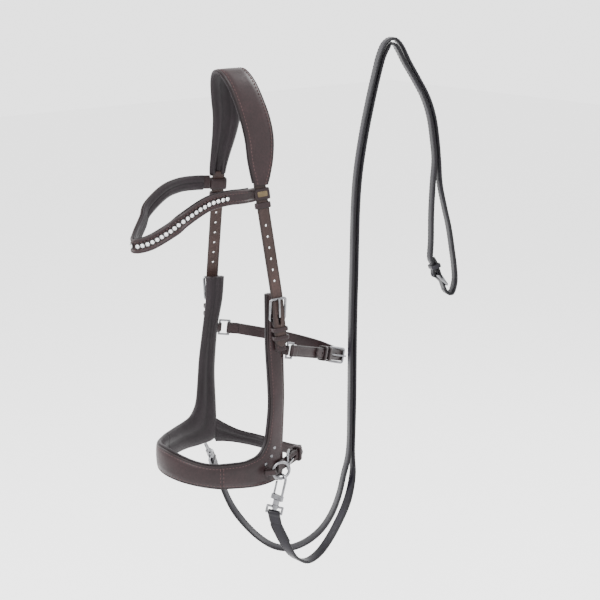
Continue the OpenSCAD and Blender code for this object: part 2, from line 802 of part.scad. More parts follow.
// free runs from the billets to the pair: [x, y, z]; each begins in line with its billet
left_run = [[95, 16, -647], [96, 29, -667], [96, 48, -680], [95, 67, -680], [93, 88, -670], [91, 112, -647],
    [90, 134, -614], [87, 146.5, -578]];
right_run = [[-88, 46, -634], [-76, 55, -664], [-56, 69, -692], [-36, 82, -709], [-17, 93, -715],
    [2, 104, -711], [22, 116, -697], [41, 126, -675], [57, 132, -647], [69, 135.5, -615],
    [76.5, 138, -581]];
// the ends after the pair parts, [distance out, height]
left_tail = [[273, -152], [272, -192], [272.5, -232]];
right_tail = [[282.5, -152], [289, -182], [296.5, -213], [302, -245], [305.5, -268], [307, -288]];

rein_heel = [284.5, -278];       // heel bar of the rein buckle
rein_way = [0.33, -0.944];       // toward its tip bar
rein_l = 18;
rein_bar = 1.5;
rein_dir = plane_x * rein_way[0] + [0, 0, rein_way[1]];
rein_up = cross(unit(cross(rein_dir, cross(lean_side, rein_dir))), rein_dir);
module at_rein_buckle() {
    place(hung(rein_heel), rein_dir, cross(lean_side, rein_dir))
        children();
}
// a point of the rein buckle's plane of symmetry, [along, outward]
function beyond(q) = hung(rein_heel) + unit(rein_dir) * q[0] + unit(rein_up) * q[1];
function rein_start(side) = [for (l = [1, 7]) let (e = eye_bar(side) + lean_way(side) * (billet_l + l))
    [side * e[0], e[1], e[2]]];
left_line = concat(rein_start(LEFT), left_run, pair_line(-half_pair),
    [for (q = left_tail) hung(q)], [for (q = [[-25, -5], [-16.3, -4.6]]) beyond(q)]);
right_line = concat(rein_start(RIGHT), right_run, pair_line(half_pair),
    [for (q = right_tail) hung(q)], [for (q = [[31.5, 10.5], [33, 5.5], [29.5, 1.3], [rein_l + 5, 0]]) beyond(q)]);
// the width's direction at point i: along the billet's bar, across the free run, then with the pair
function rein_side(side, i) = let (a = eye_axis(side), bar = [side * a[0], a[1], a[2]],
    before = 2 + len(side == LEFT ? left_run : right_run), p = side == LEFT ? ramp(i, 1, 4) : ramp(i, 3, 7),
    run = side == LEFT ? [-1, 0, 0] : lean_side, q = ramp(i, before - 2, before))
    unit(bar * (1 - p) + run * p * (1 - q) - side * lean_side * q);
module rein(side, line) {
    path = smooth(line, 1);
    rings = [for (i = [0 : len(path) - 1])
        let (t = unit(path[min(i + 1, len(path) - 1)] - path[max(i - 1, 0)]), a = rein_side(side, i),
            s = unit(a - t * (a * t)), n = unit(cross(t, s)))
        section(path[i], s, n, rein_w, rein_t)];
    color(black)
        skin(rings);
}
module rein_chape() {
    color(black)
        at_rein_buckle()
            chape(12, 16, rein_bar);
}
module rein_buckle_frame() {
    color(steel)
        at_rein_buckle()
            buckle_frame(rein_w, rein_l, rein_bar);
}
module rein_buckle_prong() {
    color(steel)
        at_rein_buckle()
            prong(rein_l, rein_bar);
}
module rein_tip() {
    color(black)
        at_rein_buckle()
            difference() {
                straight(rein_w - 1, strap_t, -24, rein_l + 4.6);
                slot(3.6, -6.5, 8);
            }
}

crown_leather();
crown_padding();
crown_strap(LEFT);  // left_crown_strap
crown_strap(RIGHT);  // right_crown_strap
crown_keepers();
browband_leather();
browband_padding();
browband_loops();
browband_plate();
stone_cups();
stones();
cheek_leather(LEFT);  // left_cheek_leather
cheek_leather(RIGHT);  // right_cheek_leather
cheek_padding(LEFT);  // left_cheek_padding
cheek_padding(RIGHT);  // right_cheek_padding
nose_leather();
nose_padding();
cheek_chape(LEFT);  // left_cheek_chape
cheek_chape(RIGHT);  // right_cheek_chape
buckle_frame_of(LEFT);  // left_buckle_frame
buckle_frame_of(RIGHT);  // right_buckle_frame
buckle_prong_of(LEFT);  // left_buckle_prong
buckle_prong_of(RIGHT);  // right_buckle_prong
fixed_keeper(LEFT);  // left_fixed_keeper
fixed_keeper(RIGHT);  // right_fixed_keeper
runner(LEFT);  // left_runner
runner(RIGHT);  // right_runner
throat_ring(LEFT);  // left_throat_ring
throat_ring(RIGHT);  // right_throat_ring
throat_ring_tabs();
left_throat_strap();
right_throat_strap();
throat_billet();
throat_buckle_frame();
throat_buckle_prong();
throat_keeper();
throat_runner();
right_chin_strap();
chin_billet();
chin_buckle_frame();
chin_buckle_prong();
chin_runner();
cheek_studs();
rein_ring(LEFT);  // left_rein_ring
rein_ring(RIGHT);  // right_rein_ring
rein_ring_tabs();
swivel_eye(LEFT);  // left_swivel_eye
swivel_eye(RIGHT);  // right_swivel_eye
snap_hook(LEFT);  // left_snap_hook
snap_hook(RIGHT);  // right_snap_hook
snap_gate(LEFT);  // left_snap_gate
snap_gate(RIGHT);  // right_snap_gate
rein_billet(LEFT);  // left_rein_billet
rein_billet(RIGHT);  // right_rein_billet
rein(LEFT, left_line);  // left_rein
rein(RIGHT, right_line);  // right_rein
rein_chape();
rein_buckle_frame();
rein_buckle_prong();
rein_tip();
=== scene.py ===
"""Looks of the bitless bridle with reins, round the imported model. Metres, +Z up, +X the horse's left."""
from math import ceil, cos, pi, radians, sin

import bmesh
import bpy
import numpy as np
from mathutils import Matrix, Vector


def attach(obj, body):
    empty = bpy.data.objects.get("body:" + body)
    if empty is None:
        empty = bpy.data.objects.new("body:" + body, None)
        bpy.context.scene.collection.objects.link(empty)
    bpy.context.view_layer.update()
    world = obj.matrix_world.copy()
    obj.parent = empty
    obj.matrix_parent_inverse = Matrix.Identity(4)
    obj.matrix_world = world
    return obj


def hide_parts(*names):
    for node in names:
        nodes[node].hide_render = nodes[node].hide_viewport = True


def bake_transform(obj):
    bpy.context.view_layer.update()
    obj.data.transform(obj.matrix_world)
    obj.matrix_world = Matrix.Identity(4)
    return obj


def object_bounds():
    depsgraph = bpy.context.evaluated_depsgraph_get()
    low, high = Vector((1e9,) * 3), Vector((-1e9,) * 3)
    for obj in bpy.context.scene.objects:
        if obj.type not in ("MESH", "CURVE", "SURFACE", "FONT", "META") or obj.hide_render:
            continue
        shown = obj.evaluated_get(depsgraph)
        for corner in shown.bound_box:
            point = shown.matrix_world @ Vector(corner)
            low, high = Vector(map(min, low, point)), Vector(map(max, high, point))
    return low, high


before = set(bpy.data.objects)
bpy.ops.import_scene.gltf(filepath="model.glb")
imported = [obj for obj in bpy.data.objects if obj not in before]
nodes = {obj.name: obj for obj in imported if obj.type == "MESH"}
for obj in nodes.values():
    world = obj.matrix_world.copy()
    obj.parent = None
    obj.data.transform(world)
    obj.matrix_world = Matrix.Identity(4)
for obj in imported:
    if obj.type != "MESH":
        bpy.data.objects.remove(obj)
cad_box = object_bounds()
LEFT, RIGHT = 1, -1

# ---- sizes, as in the CAD ----
STRAP_W, STRAP_T, PAD_T = 0.017, 0.003, 0.005
BROW_W, CHIN_W, THROAT_W = 0.018, 0.017, 0.016
NOSE_W, NOSE_L = 0.152, 0.228
STONE_COUNT, STONE_D = 43, 0.0054
BAR_R, RING_R, RING_WIRE_R = 0.0018, 0.012, 0.002
REIN_W, REIN_T, REIN_BAR_R = 0.015, 0.004, 0.0015
GAP, DROP = 0.0003, 0.006
BELOW_CHAPE = DROP - (BAR_R + 0.0024) + 0.005 + GAP


# ---- vectors and curves ----
def vec(*v):
    return np.array(v, float)


def unit(v):
    v = np.asarray(v, float)
    return v / np.linalg.norm(v)


def turned(degrees):
    """The level direction that far round from +X."""
    return vec(cos(radians(degrees)), sin(radians(degrees)), 0)


def ramp(i, start, stop):
    return min(max((i - start) / (stop - start), 0), 1)


def smooth(points, n):
    """n stations between each two points, on the curve that the CAD uses."""
    p = np.asarray(points, float)
    out = []
    for i in range(len(p) - 1):
        a, b, c, d = p[max(i - 1, 0)], p[i], p[i + 1], p[min(i + 2, len(p) - 1)]
        for k in range(n):
            t = k / n
            out.append(0.5 * (2 * b + (c - a) * t + (2 * a - 5 * b + 4 * c - d) * t**2
                              + (3 * b - a - 3 * c + d) * t**3))
    return np.array(out + [p[-1]])


def lengths(points):
    """Distance along a line of points, at each point."""
    steps = np.linalg.norm(np.diff(points, axis=0), axis=1)
    return np.concatenate([[0], np.cumsum(steps)])


def even(rows, step):
    """The same rows at an even spacing along their middle line."""
    rows = np.asarray(rows, float)
    at = lengths(rows.mean(1))
    want = np.linspace(0, at[-1], max(int(ceil(at[-1] / step)), 2) + 1)
    flat = rows.reshape(len(rows), -1)
    return np.array([np.interp(want, at, column) for column in flat.T]).T.reshape(len(want), 2, 3)


def eased(rows, times=2):
    """Rows with their kinks rounded off; the ends stay."""
    rows = np.array(rows)
    for _ in range(times):
        rows[1:-1] = (rows[:-2] + 2 * rows[1:-1] + rows[2:]) / 4
    return rows


def mirrored(p, side):
    return np.asarray(p, float) * [side, 1, 1]


class Place:
    """Local axes of a strap or a buckle: x across, y along, z outward; side mirrors it."""

    def __init__(self, o, y, z, side=LEFT):
        self.o, self.v, self.side = np.asarray(o, float), unit(y), side
        self.u = unit(np.cross(self.v, z))
        self.w = np.cross(self.u, self.v)

    def at(self, x, y, z):
        return mirrored(self.o + self.u * x + self.v * y + self.w * z, self.side)

    def line(self, stations):
        """Rows of a strip through [y, z, width] stations; outward is z where y grows."""
        rows = []
        for y, z, width in stations:
            h = self.side * width / 2
            rows.append([self.at(h, y, z), self.at(-h, y, z)])
        return np.array(rows)


# ---- camera ----
camera_data = bpy.data.cameras.new("camera")
camera_data.sensor_width = 36
camera_data.lens = 80.16
camera = bpy.data.objects.new("camera", camera_data)
bpy.context.scene.collection.objects.link(camera)
CAMERA_AT, CAMERA_TO = vec(1.412, -1.0644, 0.1811), vec(0.1201, 0.0196, -0.2865)


def look(obj, start, target):
    obj.location = start
    obj.rotation_euler = Vector(target - start).to_track_quat("-Z", "Y").to_euler()


look(camera, CAMERA_AT, CAMERA_TO)
bpy.context.scene.camera = camera


# ---- materials ----
def new_material(name, color, roughness, metallic=0.0, **sockets):
    m = bpy.data.materials.new(name)
    m.use_nodes = True
    shader = m.node_tree.nodes["Principled BSDF"]
    shader.inputs["Base Color"].default_value = (*color, 1)
    shader.inputs["Roughness"].default_value = roughness
    shader.inputs["Metallic"].default_value = metallic
    for socket, value in sockets.items():
        shader.inputs[socket.replace("_", " ")].default_value = value
    return m


def noise(tree, coords, scale, detail=4.0, kind="ShaderNodeTexNoise"):
    node = tree.nodes.new(kind)
    node.inputs["Scale"].default_value = scale
    if "Detail" in node.inputs:
        node.inputs["Detail"].default_value = detail
    tree.links.new(coords.outputs["Object"], node.inputs["Vector"])
    return node


def ramp_node(tree, source, stops):
    node = tree.nodes.new("ShaderNodeValToRGB")
    while len(node.color_ramp.elements) < len(stops):
        node.color_ramp.elements.new(0.5)
    for element, (at, color) in zip(node.color_ramp.elements, stops):
        element.position = at
        element.color = (*color, 1)
    tree.links.new(source, node.inputs["Fac"])
    return node


MIX_SOCKETS, MIX_RESULT = {"A": 6, "B": 7}, 2   # the colour sockets of a mix node


def mixed(tree, kind, factor, a, b):
    node = tree.nodes.new("ShaderNodeMix")
    node.data_type = "RGBA"
    node.blend_type = kind
    if isinstance(factor, float):
        node.inputs["Factor"].default_value = factor
    else:
        tree.links.new(factor, node.inputs["Factor"])
    for socket, value in (("A", a), ("B", b)):
        if isinstance(value, tuple):
            node.inputs[MIX_SOCKETS[socket]].default_value = (*value, 1)
        else:
            tree.links.new(value, node.inputs[MIX_SOCKETS[socket]])
    return node.outputs[MIX_RESULT]


def leather(name, color, roughness=0.42, grain=0.00012, sheen=0.0, coat=0.03, lift=1.5):
    """Grained leather: cloudy tone, pebbled bump, paler where it is rubbed, dark along its burnished rims,
    with painted shade in creases, seam grooves and where padding meets a strap.
    """
    m = new_material(name, color, roughness, Coat_Weight=coat, Coat_Roughness=0.32, Sheen_Weight=sheen,
                     Sheen_Roughness=0.5, Specular_IOR_Level=0.2)
    tree = m.node_tree
    shader = tree.nodes["Principled BSDF"]
    coords = tree.nodes.new("ShaderNodeTexCoord")
    clouds = noise(tree, coords, 22, 5)
    dark = tuple(0.72 * c for c in color)
    pale = tuple(min(lift * c, 1) for c in color)
    tone = ramp_node(tree, clouds.outputs["Fac"], [(0.32, dark), (0.52, color), (0.74, pale)])
    fine = noise(tree, coords, 420, 3)
    speck = ramp_node(tree, fine.outputs["Fac"], [(0.35, (0.78, 0.78, 0.78)), (0.65, (1.1, 1.1, 1.1))])
    tone2 = mixed(tree, "MULTIPLY", 1.0, tone.outputs["Color"], speck.outputs["Color"])
    # Per-point darkening from the mesh: burnished rims (real) and painted shade in creases, grooves and
    # joints.
    rim_and_shade = tree.nodes.new("ShaderNodeAttribute")
    rim_and_shade.attribute_name = "rim_and_shade"
    edge = mixed(tree, "MIX", rim_and_shade.outputs["Fac"], tone2, tuple(0.45 * c for c in color))
    tree.links.new(edge, shader.inputs["Base Color"])
    rough = tree.nodes.new("ShaderNodeMapRange")
    rough.inputs["From Min"].default_value, rough.inputs["From Max"].default_value = 0.3, 0.7
    rough.inputs["To Min"].default_value = roughness - 0.07
    rough.inputs["To Max"].default_value = roughness + 0.09
    tree.links.new(clouds.outputs["Fac"], rough.inputs["Value"])
    tree.links.new(rough.outputs["Result"], shader.inputs["Roughness"])
    cells = noise(tree, coords, 1100, kind="ShaderNodeTexVoronoi")
    bump = tree.nodes.new("ShaderNodeBump")
    bump.inputs["Strength"].default_value = 0.35
    bump.inputs["Distance"].default_value = grain
    tree.links.new(cells.outputs["Distance"], bump.inputs["Height"])
    folds = tree.nodes.new("ShaderNodeBump")
    folds.inputs["Strength"].default_value = 0.25
    folds.inputs["Distance"].default_value = 0.0008
    crease = noise(tree, coords, 75, 6)
    tree.links.new(crease.outputs["Fac"], folds.inputs["Height"])
    tree.links.new(bump.outputs["Normal"], folds.inputs["Normal"])
    tree.links.new(folds.outputs["Normal"], shader.inputs["Normal"])
    return m


def worn_metal(name, color, roughness):
    """Polished metal with fine scratches and a little tarnish."""
    m = new_material(name, color, roughness, 1.0)
    tree = m.node_tree
    shader = tree.nodes["Principled BSDF"]
    coords = tree.nodes.new("ShaderNodeTexCoord")
    stain = noise(tree, coords, 160, 4)
    tone = ramp_node(tree, stain.outputs["Fac"], [(0.3, tuple(0.62 * c for c in color)), (0.6, color)])
    tree.links.new(tone.outputs["Color"], shader.inputs["Base Color"])
    rough = tree.nodes.new("ShaderNodeMapRange")
    rough.inputs["To Min"].default_value = roughness - 0.06
    rough.inputs["To Max"].default_value = roughness + 0.14
    tree.links.new(stain.outputs["Fac"], rough.inputs["Value"])
    tree.links.new(rough.outputs["Result"], shader.inputs["Roughness"])
    scratch = noise(tree, coords, 900, 2)
    bump = tree.nodes.new("ShaderNodeBump")
    bump.inputs["Strength"].default_value = 0.12
    bump.inputs["Distance"].default_value = 0.0001
    tree.links.new(scratch.outputs["Fac"], bump.inputs["Height"])
    tree.links.new(bump.outputs["Normal"], shader.inputs["Normal"])
    return m


HAVANA = leather("havana_leather", (0.0135, 0.0066, 0.0074))
BROWN = leather("brown_leather", (0.024, 0.0135, 0.0118), roughness=0.38)
LINING = leather("lining_leather", (0.0075, 0.0048, 0.0062), roughness=0.5, grain=0.00018, coat=0.02)
REIN = leather("rein_leather", (0.0045, 0.0037, 0.0065), roughness=0.36, lift=1.9)
THREAD = new_material("waxed_thread", (0.060, 0.030, 0.030), 0.6, Specular_IOR_Level=0.2)
REIN_THREAD = new_material("rein_thread", (0.006, 0.005, 0.007), 0.5, Specular_IOR_Level=0.2)
STEEL = worn_metal("polished_steel", (0.19, 0.19, 0.20), 0.2)
CUP = worn_metal("dark_steel", (0.10, 0.095, 0.095), 0.3)
ANTIQUE = worn_metal("antique_brass", (0.13, 0.10, 0.06), 0.34)
# The near-white base colour, about half of the crystals' look, is painted glint: it stands in for light
# reflected in clear stones.
GLINT_PAINTED_CRYSTAL = new_material("crystal_painted_glint", (0.95, 0.96, 0.98), 0.03, Transmission_Weight=0.55, IOR=1.75,
                       Coat_Weight=0.6, Coat_Roughness=0.02)


# ---- meshes ----
def new_piece(name, verts, faces, material, rim_and_shade=None, flat=False):
    """A mesh piece with outward faces and, where given, how dark each point is: burnished rims, and painted
    shade in creases, grooves and joints.
    """
    mesh = bpy.data.meshes.new(name)
    mesh.from_pydata([tuple(v) for v in verts], [], faces)
    if rim_and_shade is not None:
        attribute = mesh.attributes.new("rim_and_shade", "FLOAT", "POINT")
        attribute.data.foreach_set("value", np.asarray(rim_and_shade, np.float32))
    b = bmesh.new()
    b.from_mesh(mesh)
    bmesh.ops.recalc_face_normals(b, faces=b.faces)
    b.to_mesh(mesh)
    b.free()
    mesh.materials.append(material)
    for polygon in mesh.polygons:
        polygon.use_smooth = not flat
    obj = bpy.data.objects.new(name, mesh)
    bpy.context.scene.collection.objects.link(obj)
    return obj


def frames(rows, closed=False):
    """Middle, across, outward and half width of each row."""
    c = rows.mean(1)
    if closed:
        t = np.roll(c, -1, 0) - np.roll(c, 1, 0)
    else:
        t = np.gradient(c, axis=0)
    s = rows[:, 1] - rows[:, 0]
    half = np.linalg.norm(s, axis=1) / 2
    s = s / (2 * half[:, None])
    n = np.cross(t, s)
    n /= np.linalg.norm(n, axis=1)[:, None]
    return c, s, n, half


NARROW = 0.008   # half width under which a profile's insets shrink with the strap


def lay(profile, data, i):
    """The points of a profile of [share of half width, inset, height] at row i."""
    c, s, n, half = data
    k = min(1, half[i] / NARROW)
    x = profile[:, 0] * half[i] + profile[:, 1] * k
    return c[i] + np.outer(x, s[i]) + np.outer(profile[:, 2], n[i])


def tube(rings, closed=False):
    """Points and faces of a skin over rings of equal length."""
    m = len(rings[0])
    count = len(rings)
    faces = []
    for i in range(count if closed else count - 1):
        a, b = i * m, (i + 1) % count * m
        faces += [(a + j, b + j, b + (j + 1) % m, a + (j + 1) % m) for j in range(m)]
    if not closed:
        faces += [tuple(range(m)), tuple(range((count - 1) * m, count * m))]
    return np.concatenate(rings), faces


def rounded(half_outline):
    """A closed profile from its right half, [share, inset, height, darkening], bottom middle to top middle;
    darkening is burnished rims plus painted shade in creases and joints.
    """
    right = np.array(half_outline, float)
    left = right[::-1].copy()
    left[:, :2] *= -1
    left = left[np.abs(left[:, 0]) + np.abs(left[:, 1]) > 1e-9]
    return np.concatenate([right, left])


def strap_profile(t=STRAP_T, crown=0.0004, crease=0.00035):
    """A strap with rounded rims, a crease line inside each of them with painted shade in it, and a slightly
    raised face.
    """
    h = t / 2
    outline = [(0, 0, -h, 0), (0.6, 0, -h, 0), (1, -0.0008, -h, 0.4), (1, -0.0002, -h + 0.0003, 1),
               (1, 0, -h + 0.0009, 1), (1, 0, h - 0.0010, 1), (1, -0.0003, h - 0.0004, 1),
               (1, -0.0010, h, 0.7)]
    # The crease groove near each edge: its bottom is darkened 0.9, a painted shade.
    if crease:
        outline += [(1, -0.0019, h, 0.1), (1, -0.0024, h - crease, 0.9), (1, -0.0030, h + 0.3 * crown, 0)]
    outline += [(0.45, 0, h + 0.8 * crown, 0), (0, 0, h + crown, 0)]
    return rounded(outline)


def pad_profile(t=STRAP_T, pad=PAD_T, bulge=0.0013, seam=0.0009):
    """Padding behind a strap: it rolls out past the strap's rims, with a shallow seam down its back; painted
    shade darkens that seam and the strip where the padding tucks under the strap.
    """
    h = -t / 2
    back = h - pad
    # Painted shade: 0.5 in the back seam, 0.2 to 1 where the padding meets the strap's underside.
    outline = [(0, 0, back + seam, 0.5), (0.22, 0, back - 0.0002, 0), (0.6, 0, back - 0.0008, 0),
               (1, -0.0020, back + 0.0002, 0), (1, 0.6 * bulge, back + 0.0016, 0),
               (1, bulge, h - 0.5 * pad, 0),
               (1, bulge, h - 0.0008, 0), (1, 0.7 * bulge, h + 0.0006, 0), (1, 0.0007, h + 0.0011, 0.2),
               (1, 0.0001, h + 0.0004, 1), (1, -0.0012, h - 0.0001, 1), (0.3, 0, h - 0.0001, 0),
               (0, 0, h - 0.0001, 0)]
    return rounded(outline)


def end_caps(rings, r=0.0006):
    """One more, slightly smaller ring at each end, so that a cut end has a soft corner."""
    first, last = rings[0], rings[-1]
    out = []
    for ring, inner in ((first, rings[1]), (last, rings[-2])):
        mid = ring.mean(0)
        direction = unit(mid - inner.mean(0))
        small = mid + (ring - mid) * (1 - r / np.linalg.norm(ring - mid, axis=1).max() * 2)
        out.append(small + direction * r)
    return [out[0]] + rings + [out[1]]


def band(name, rows, profile, material, closed=False):
    """A strap, padding or loop: a profile swept along rows of [edge, other edge]."""
    data = frames(rows, closed)
    rings = [lay(profile[:, :3], data, i) for i in range(len(rows))]
    # Fourth profile column: darkening for burnished rims and painted shade in creases and joints; cut ends
    # count as burnished.
    rim_and_shade = list(profile[:, 3])
    if not closed:
        rings = end_caps(rings)
        rims = [1.0] * len(rim_and_shade) + rim_and_shade * (len(rings) - 2) + [1.0] * len(rim_and_shade)
    else:
        rims = rim_and_shade * len(rings)
    verts, faces = tube(rings, closed)
    return new_piece(name, verts, faces, material, rims)


STITCH, STITCH_GAP, STITCH_R = 0.0030, 0.0016, 0.00042
STITCH_SHAPE = ((0, 0.35, -0.25), (0.2, 0.95, 0.15), (0.8, 0.95, 0.15), (1, 0.35, -0.25))


def stitch_mesh(lines):
    """Points and faces of the stitches along lines of (points, outward directions)."""
    verts, faces = [], []
    for points, outs in lines:
        at = lengths(points)
        count = int((at[-1] - STITCH_GAP) / (STITCH + STITCH_GAP))
        if count < 1:
            continue
        pitch = at[-1] / count
        for k in range(count):
            middle = (k + 0.5) * pitch
            ends = [vec(*(np.interp(middle + e, at, points[:, j]) for j in range(3)))
                    for e in (-STITCH / 2, STITCH / 2)]
            out = vec(*(np.interp(middle, at, outs[:, j]) for j in range(3)))
            along = unit(ends[1] - ends[0])
            across = unit(np.cross(along, out))
            up = np.cross(across, along)
            base = len(verts)
            for share, size, lift in STITCH_SHAPE:
                mid = ends[0] + (ends[1] - ends[0]) * share + up * lift * STITCH_R
                for a in range(6):
                    angle = a * pi / 3
                    verts.append(mid + (across * cos(angle) + up * 0.8 * sin(angle)) * STITCH_R * size)
            for i in range(3):
                faces += [(base + i * 6 + a, base + (i + 1) * 6 + a, base + (i + 1) * 6 + (a + 1) % 6,
                           base + i * 6 + (a + 1) % 6) for a in range(6)]
            faces += [tuple(base + a for a in range(6)), tuple(base + 18 + a for a in range(6))]
    return verts, faces


def seam_line(rows, share, inset, height, a=0, b=None):
    """A line on a strap's face for stitches, from row a to row b."""
    data = frames(rows)
    spot = np.array([[share, inset, height]])
    points = np.array([lay(spot, data, i)[0] for i in range(len(rows))])
    return points[a:b], data[2][a:b]


def edge_seams(rows, inset=0.0042, height=STRAP_T / 2 + 0.0003, a=0, b=None):
    """Both rims' stitch lines."""
    return [seam_line(rows, s, -s * inset, height, a, b) for s in (1, -1)]


def stitches(name, lines, material=THREAD):
    verts, faces = stitch_mesh(lines)
    return new_piece(name, verts, faces, material)


def cut(obj, cutters):
    """Takes the cutters, a mesh piece each, out of obj."""
    for cutter in cutters:
        change = obj.modifiers.new("cut", "BOOLEAN")
        change.operation = "DIFFERENCE"
        change.solver = "EXACT"
        change.object = cutter
        bpy.context.view_layer.update()
        graph = bpy.context.evaluated_depsgraph_get()
        result = bpy.data.meshes.new_from_object(obj.evaluated_get(graph))
        obj.modifiers.remove(change)
        obj.data = result
        bpy.data.objects.remove(cutter)
    return obj


def round_cutter(place, points, r, reach=0.008, stretch=0):
    """Cylinders along the place's z at [x, y] points, drawn out along y by stretch."""
    verts, faces = [], []
    sides = 20
    for x, y in points:
        base = len(verts)
        for z in (-reach, reach):
            for a in range(sides):
                angle = 2 * pi * (a + 0.5) / sides
                out = r * sin(angle) + (stretch / 2) * np.sign(sin(angle))
                verts.append(place.at(x + r * cos(angle), y + out, z))
        faces += [(base + a, base + (a + 1) % sides, base + sides + (a + 1) % sides, base + sides + a)
                  for a in range(sides)]
        faces += [tuple(base + a for a in range(sides)), tuple(base + sides + a for a in range(sides))]
    return new_piece("cutter", verts, faces, HAVANA)


def prong_slot(place):
    """The cutter of the slot that lets a prong turn in a strap's end."""
    return round_cutter(place, [(0, 0.00075)], 0.0018, 0.012, 0.0109)


def tapered(stations, length, width, shape=0.5):
    """Stations with a rounded or pointed end at the last one: shape 0.5 is round, 1 is straight."""
    ys = np.array([s[0] for s in stations])
    end = ys[-1]
    out = [s for s in stations if abs(s[0] - end) > length]
    z = stations[-1][1]
    way = np.sign(end - ys[0])
    for k in range(9):
        d = length * (1 - (k / 8) ** 0.7) + 0.0002
        w = width * (1 - max(1 - d / length, 0) ** (1 / shape)) ** shape
        out.append((end - way * d, z, max(w, 0.0012)))
    return out


def straight(y0, y1, width, z=0.0, step=0.0025):
    count = max(int(abs(y1 - y0) / step), 2)
    return [(y, z, width) for y in np.linspace(y0, y1, count + 1)]


# ---- shapes that repeat ----
def folded(name, place, width, r, tail, body, material=HAVANA, thick=0.0024,
           slotted=True, node=(), depth=0.005):
    """Leather folded round a buckle's heel bar, stitched to itself, with the prong's slot in the fold."""
    top = -DROP + r + thick + 0.0001
    mid = r + thick / 2 + 0.0001
    path = [(y, top - thick / 2) for y in np.linspace(-tail, -0.0005, 14)]
    path += [(mid * sin(radians(a)), -DROP + mid * cos(radians(a))) for a in range(10, 171, 16)]
    path += [(-0.002, -DROP - mid), (-0.0055, -DROP - mid + 0.0012)]
    path += [(-0.009, top - depth + thick / 2 - 0.0002)]
    path += [(y, top - depth + thick / 2) for y in np.linspace(-0.011, -tail, 12)]
    rows = np.array([[place.at(place.side * width / 2, y, z), place.at(-place.side * width / 2, y, z)]
                     for y, z in path])
    rows = even(eased(rows, 1), 0.0012)
    piece = band(name, rows, strap_profile(thick, 0.0002, 0), material)
    if slotted:
        cut(piece, [round_cutter(place, [(0, 0.0005)], 0.0023, 0.012, 0.006)])
    leaf = place.line(straight(-0.007, -tail + 0.002, width, top - thick / 2))
    seams = [seam_line(leaf[::-1], s, -s * 0.0026, thick / 2 + 0.0001) for s in (1, -1)]
    thread = stitches(name + "_stitches", seams)
    for p in (piece, thread):
        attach(p, body)
    if node:
        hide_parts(node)
    return piece


def keeper(name, place, width, length, below, y, body, node=(), above=STRAP_T / 2 + GAP + 0.0001,
           material=HAVANA, wall=0.002):
    """A leather loop round a strap, with rounded corners and rounded rims."""
    hx, r = (width + 0.001) / 2 + wall / 2, 0.0022
    z0, z1 = -below - wall / 2, above + wall / 2
    path = []
    for cx, cz, start in ((hx - r, z1 - r, 90), (hx - r, z0 + r, 0),
                          (-hx + r, z0 + r, -90), (-hx + r, z1 - r, -180)):
        angles = [radians(start - a) for a in range(0, 91, 15)]
        path += [(cx + r * cos(angle), cz + r * sin(angle)) for angle in angles]
    dense = []
    for (x0, y0), (x1, y1) in zip(path, path[1:] + path[:1]):
        count = max(int(np.hypot(x1 - x0, y1 - y0) / 0.002), 1)
        dense += [(x0 + (x1 - x0) * k / count, y0 + (y1 - y0) * k / count) for k in range(count)]
    h = place.side * length / 2
    rows = np.array([[place.at(x, y - h, z), place.at(x, y + h, z)] for x, z in dense])
    piece = band(name, rows, strap_profile(wall, 0.0003, 0), material, closed=True)
    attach(piece, body)
    if node:
        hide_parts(node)
    return piece


def finish_metal(names, material):
    for name in names:
        mesh = nodes[name].data
        mesh.materials.clear()
        mesh.materials.append(material)


# ---- places ----
STRAP_TOP = vec(0.0425, 0.012, -0.128)
STRAP_BEND = vec(0.0726, 0.0187, -0.29)
STRAP_HEEL = vec(0.0765, 0.0197, -0.324)
TURN = {LEFT: 14, RIGHT: -20}
UPPER_L = np.linalg.norm(STRAP_TOP - STRAP_BEND)
STRAP_END = 0.036


def outward(side):
    return turned(-TURN[side])


def buckle_place(side):
    return Place(STRAP_HEEL, STRAP_BEND - STRAP_HEEL, outward(side), side)


def strap_place(side, below=0.0):
    up = unit(STRAP_TOP - STRAP_BEND)
    return Place(STRAP_TOP - up * below, up, outward(side), side)


# the noseband's line round the nose
LEAN_TURN, LEAN_DROP, NOSE_Y = 4, 0.0075, -0.008


def seat(phi, z, off=0.0):
    a, t = radians(phi), radians(LEAN_TURN)
    x, y = (NOSE_W / 2 + off) * cos(a), (NOSE_L / 2 + off) * sin(a)
    return vec(x * cos(t) - y * sin(t), NOSE_Y + x * sin(t) + y * cos(t), z - LEAN_DROP * cos(a))


def seat_out(phi):
    return unit(seat(phi, 0, 0.001) - seat(phi, 0))


def edges(q, side):
    """Front and rear edge of an upright strap at [x, y, z, width, turn]."""
    c = vec(side * q[0], q[1], q[2])
    s = vec(side * sin(radians(q[4])), cos(radians(q[4])), 0) * q[3] / 2
    return [c - s, c + s]


# ---- reins ----
REIN_PLANE, PLANE_AT = 50, -0.030
PLANE_X = turned(REIN_PLANE)
PLANE_N = vec(PLANE_X[1], -PLANE_X[0], 0)
HALF_PAIR = (REIN_T + 0.0016) / 2
PAIR = [[0.165, -0.54], [0.166, -0.465], [0.166, -0.35], [0.167, -0.272], [0.168, -0.19], [0.171, -0.138],
        [0.178, -0.086], [0.186, -0.042], [0.194, -0.004], [0.2, 0.02], [0.207, 0.035], [0.215, 0.039],
        [0.223, 0.032], [0.234, 0.011], [0.247, -0.011], [0.26, -0.035], [0.269, -0.062], [0.274, -0.092],
        [0.277, -0.12]]
LEFT_RUN = [[0.095, 0.016, -0.647], [0.096, 0.029, -0.667], [0.096, 0.048, -0.68], [0.095, 0.067, -0.68],
            [0.093, 0.088, -0.67], [0.091, 0.112, -0.647], [0.09, 0.134, -0.614], [0.087, 0.1465, -0.578]]
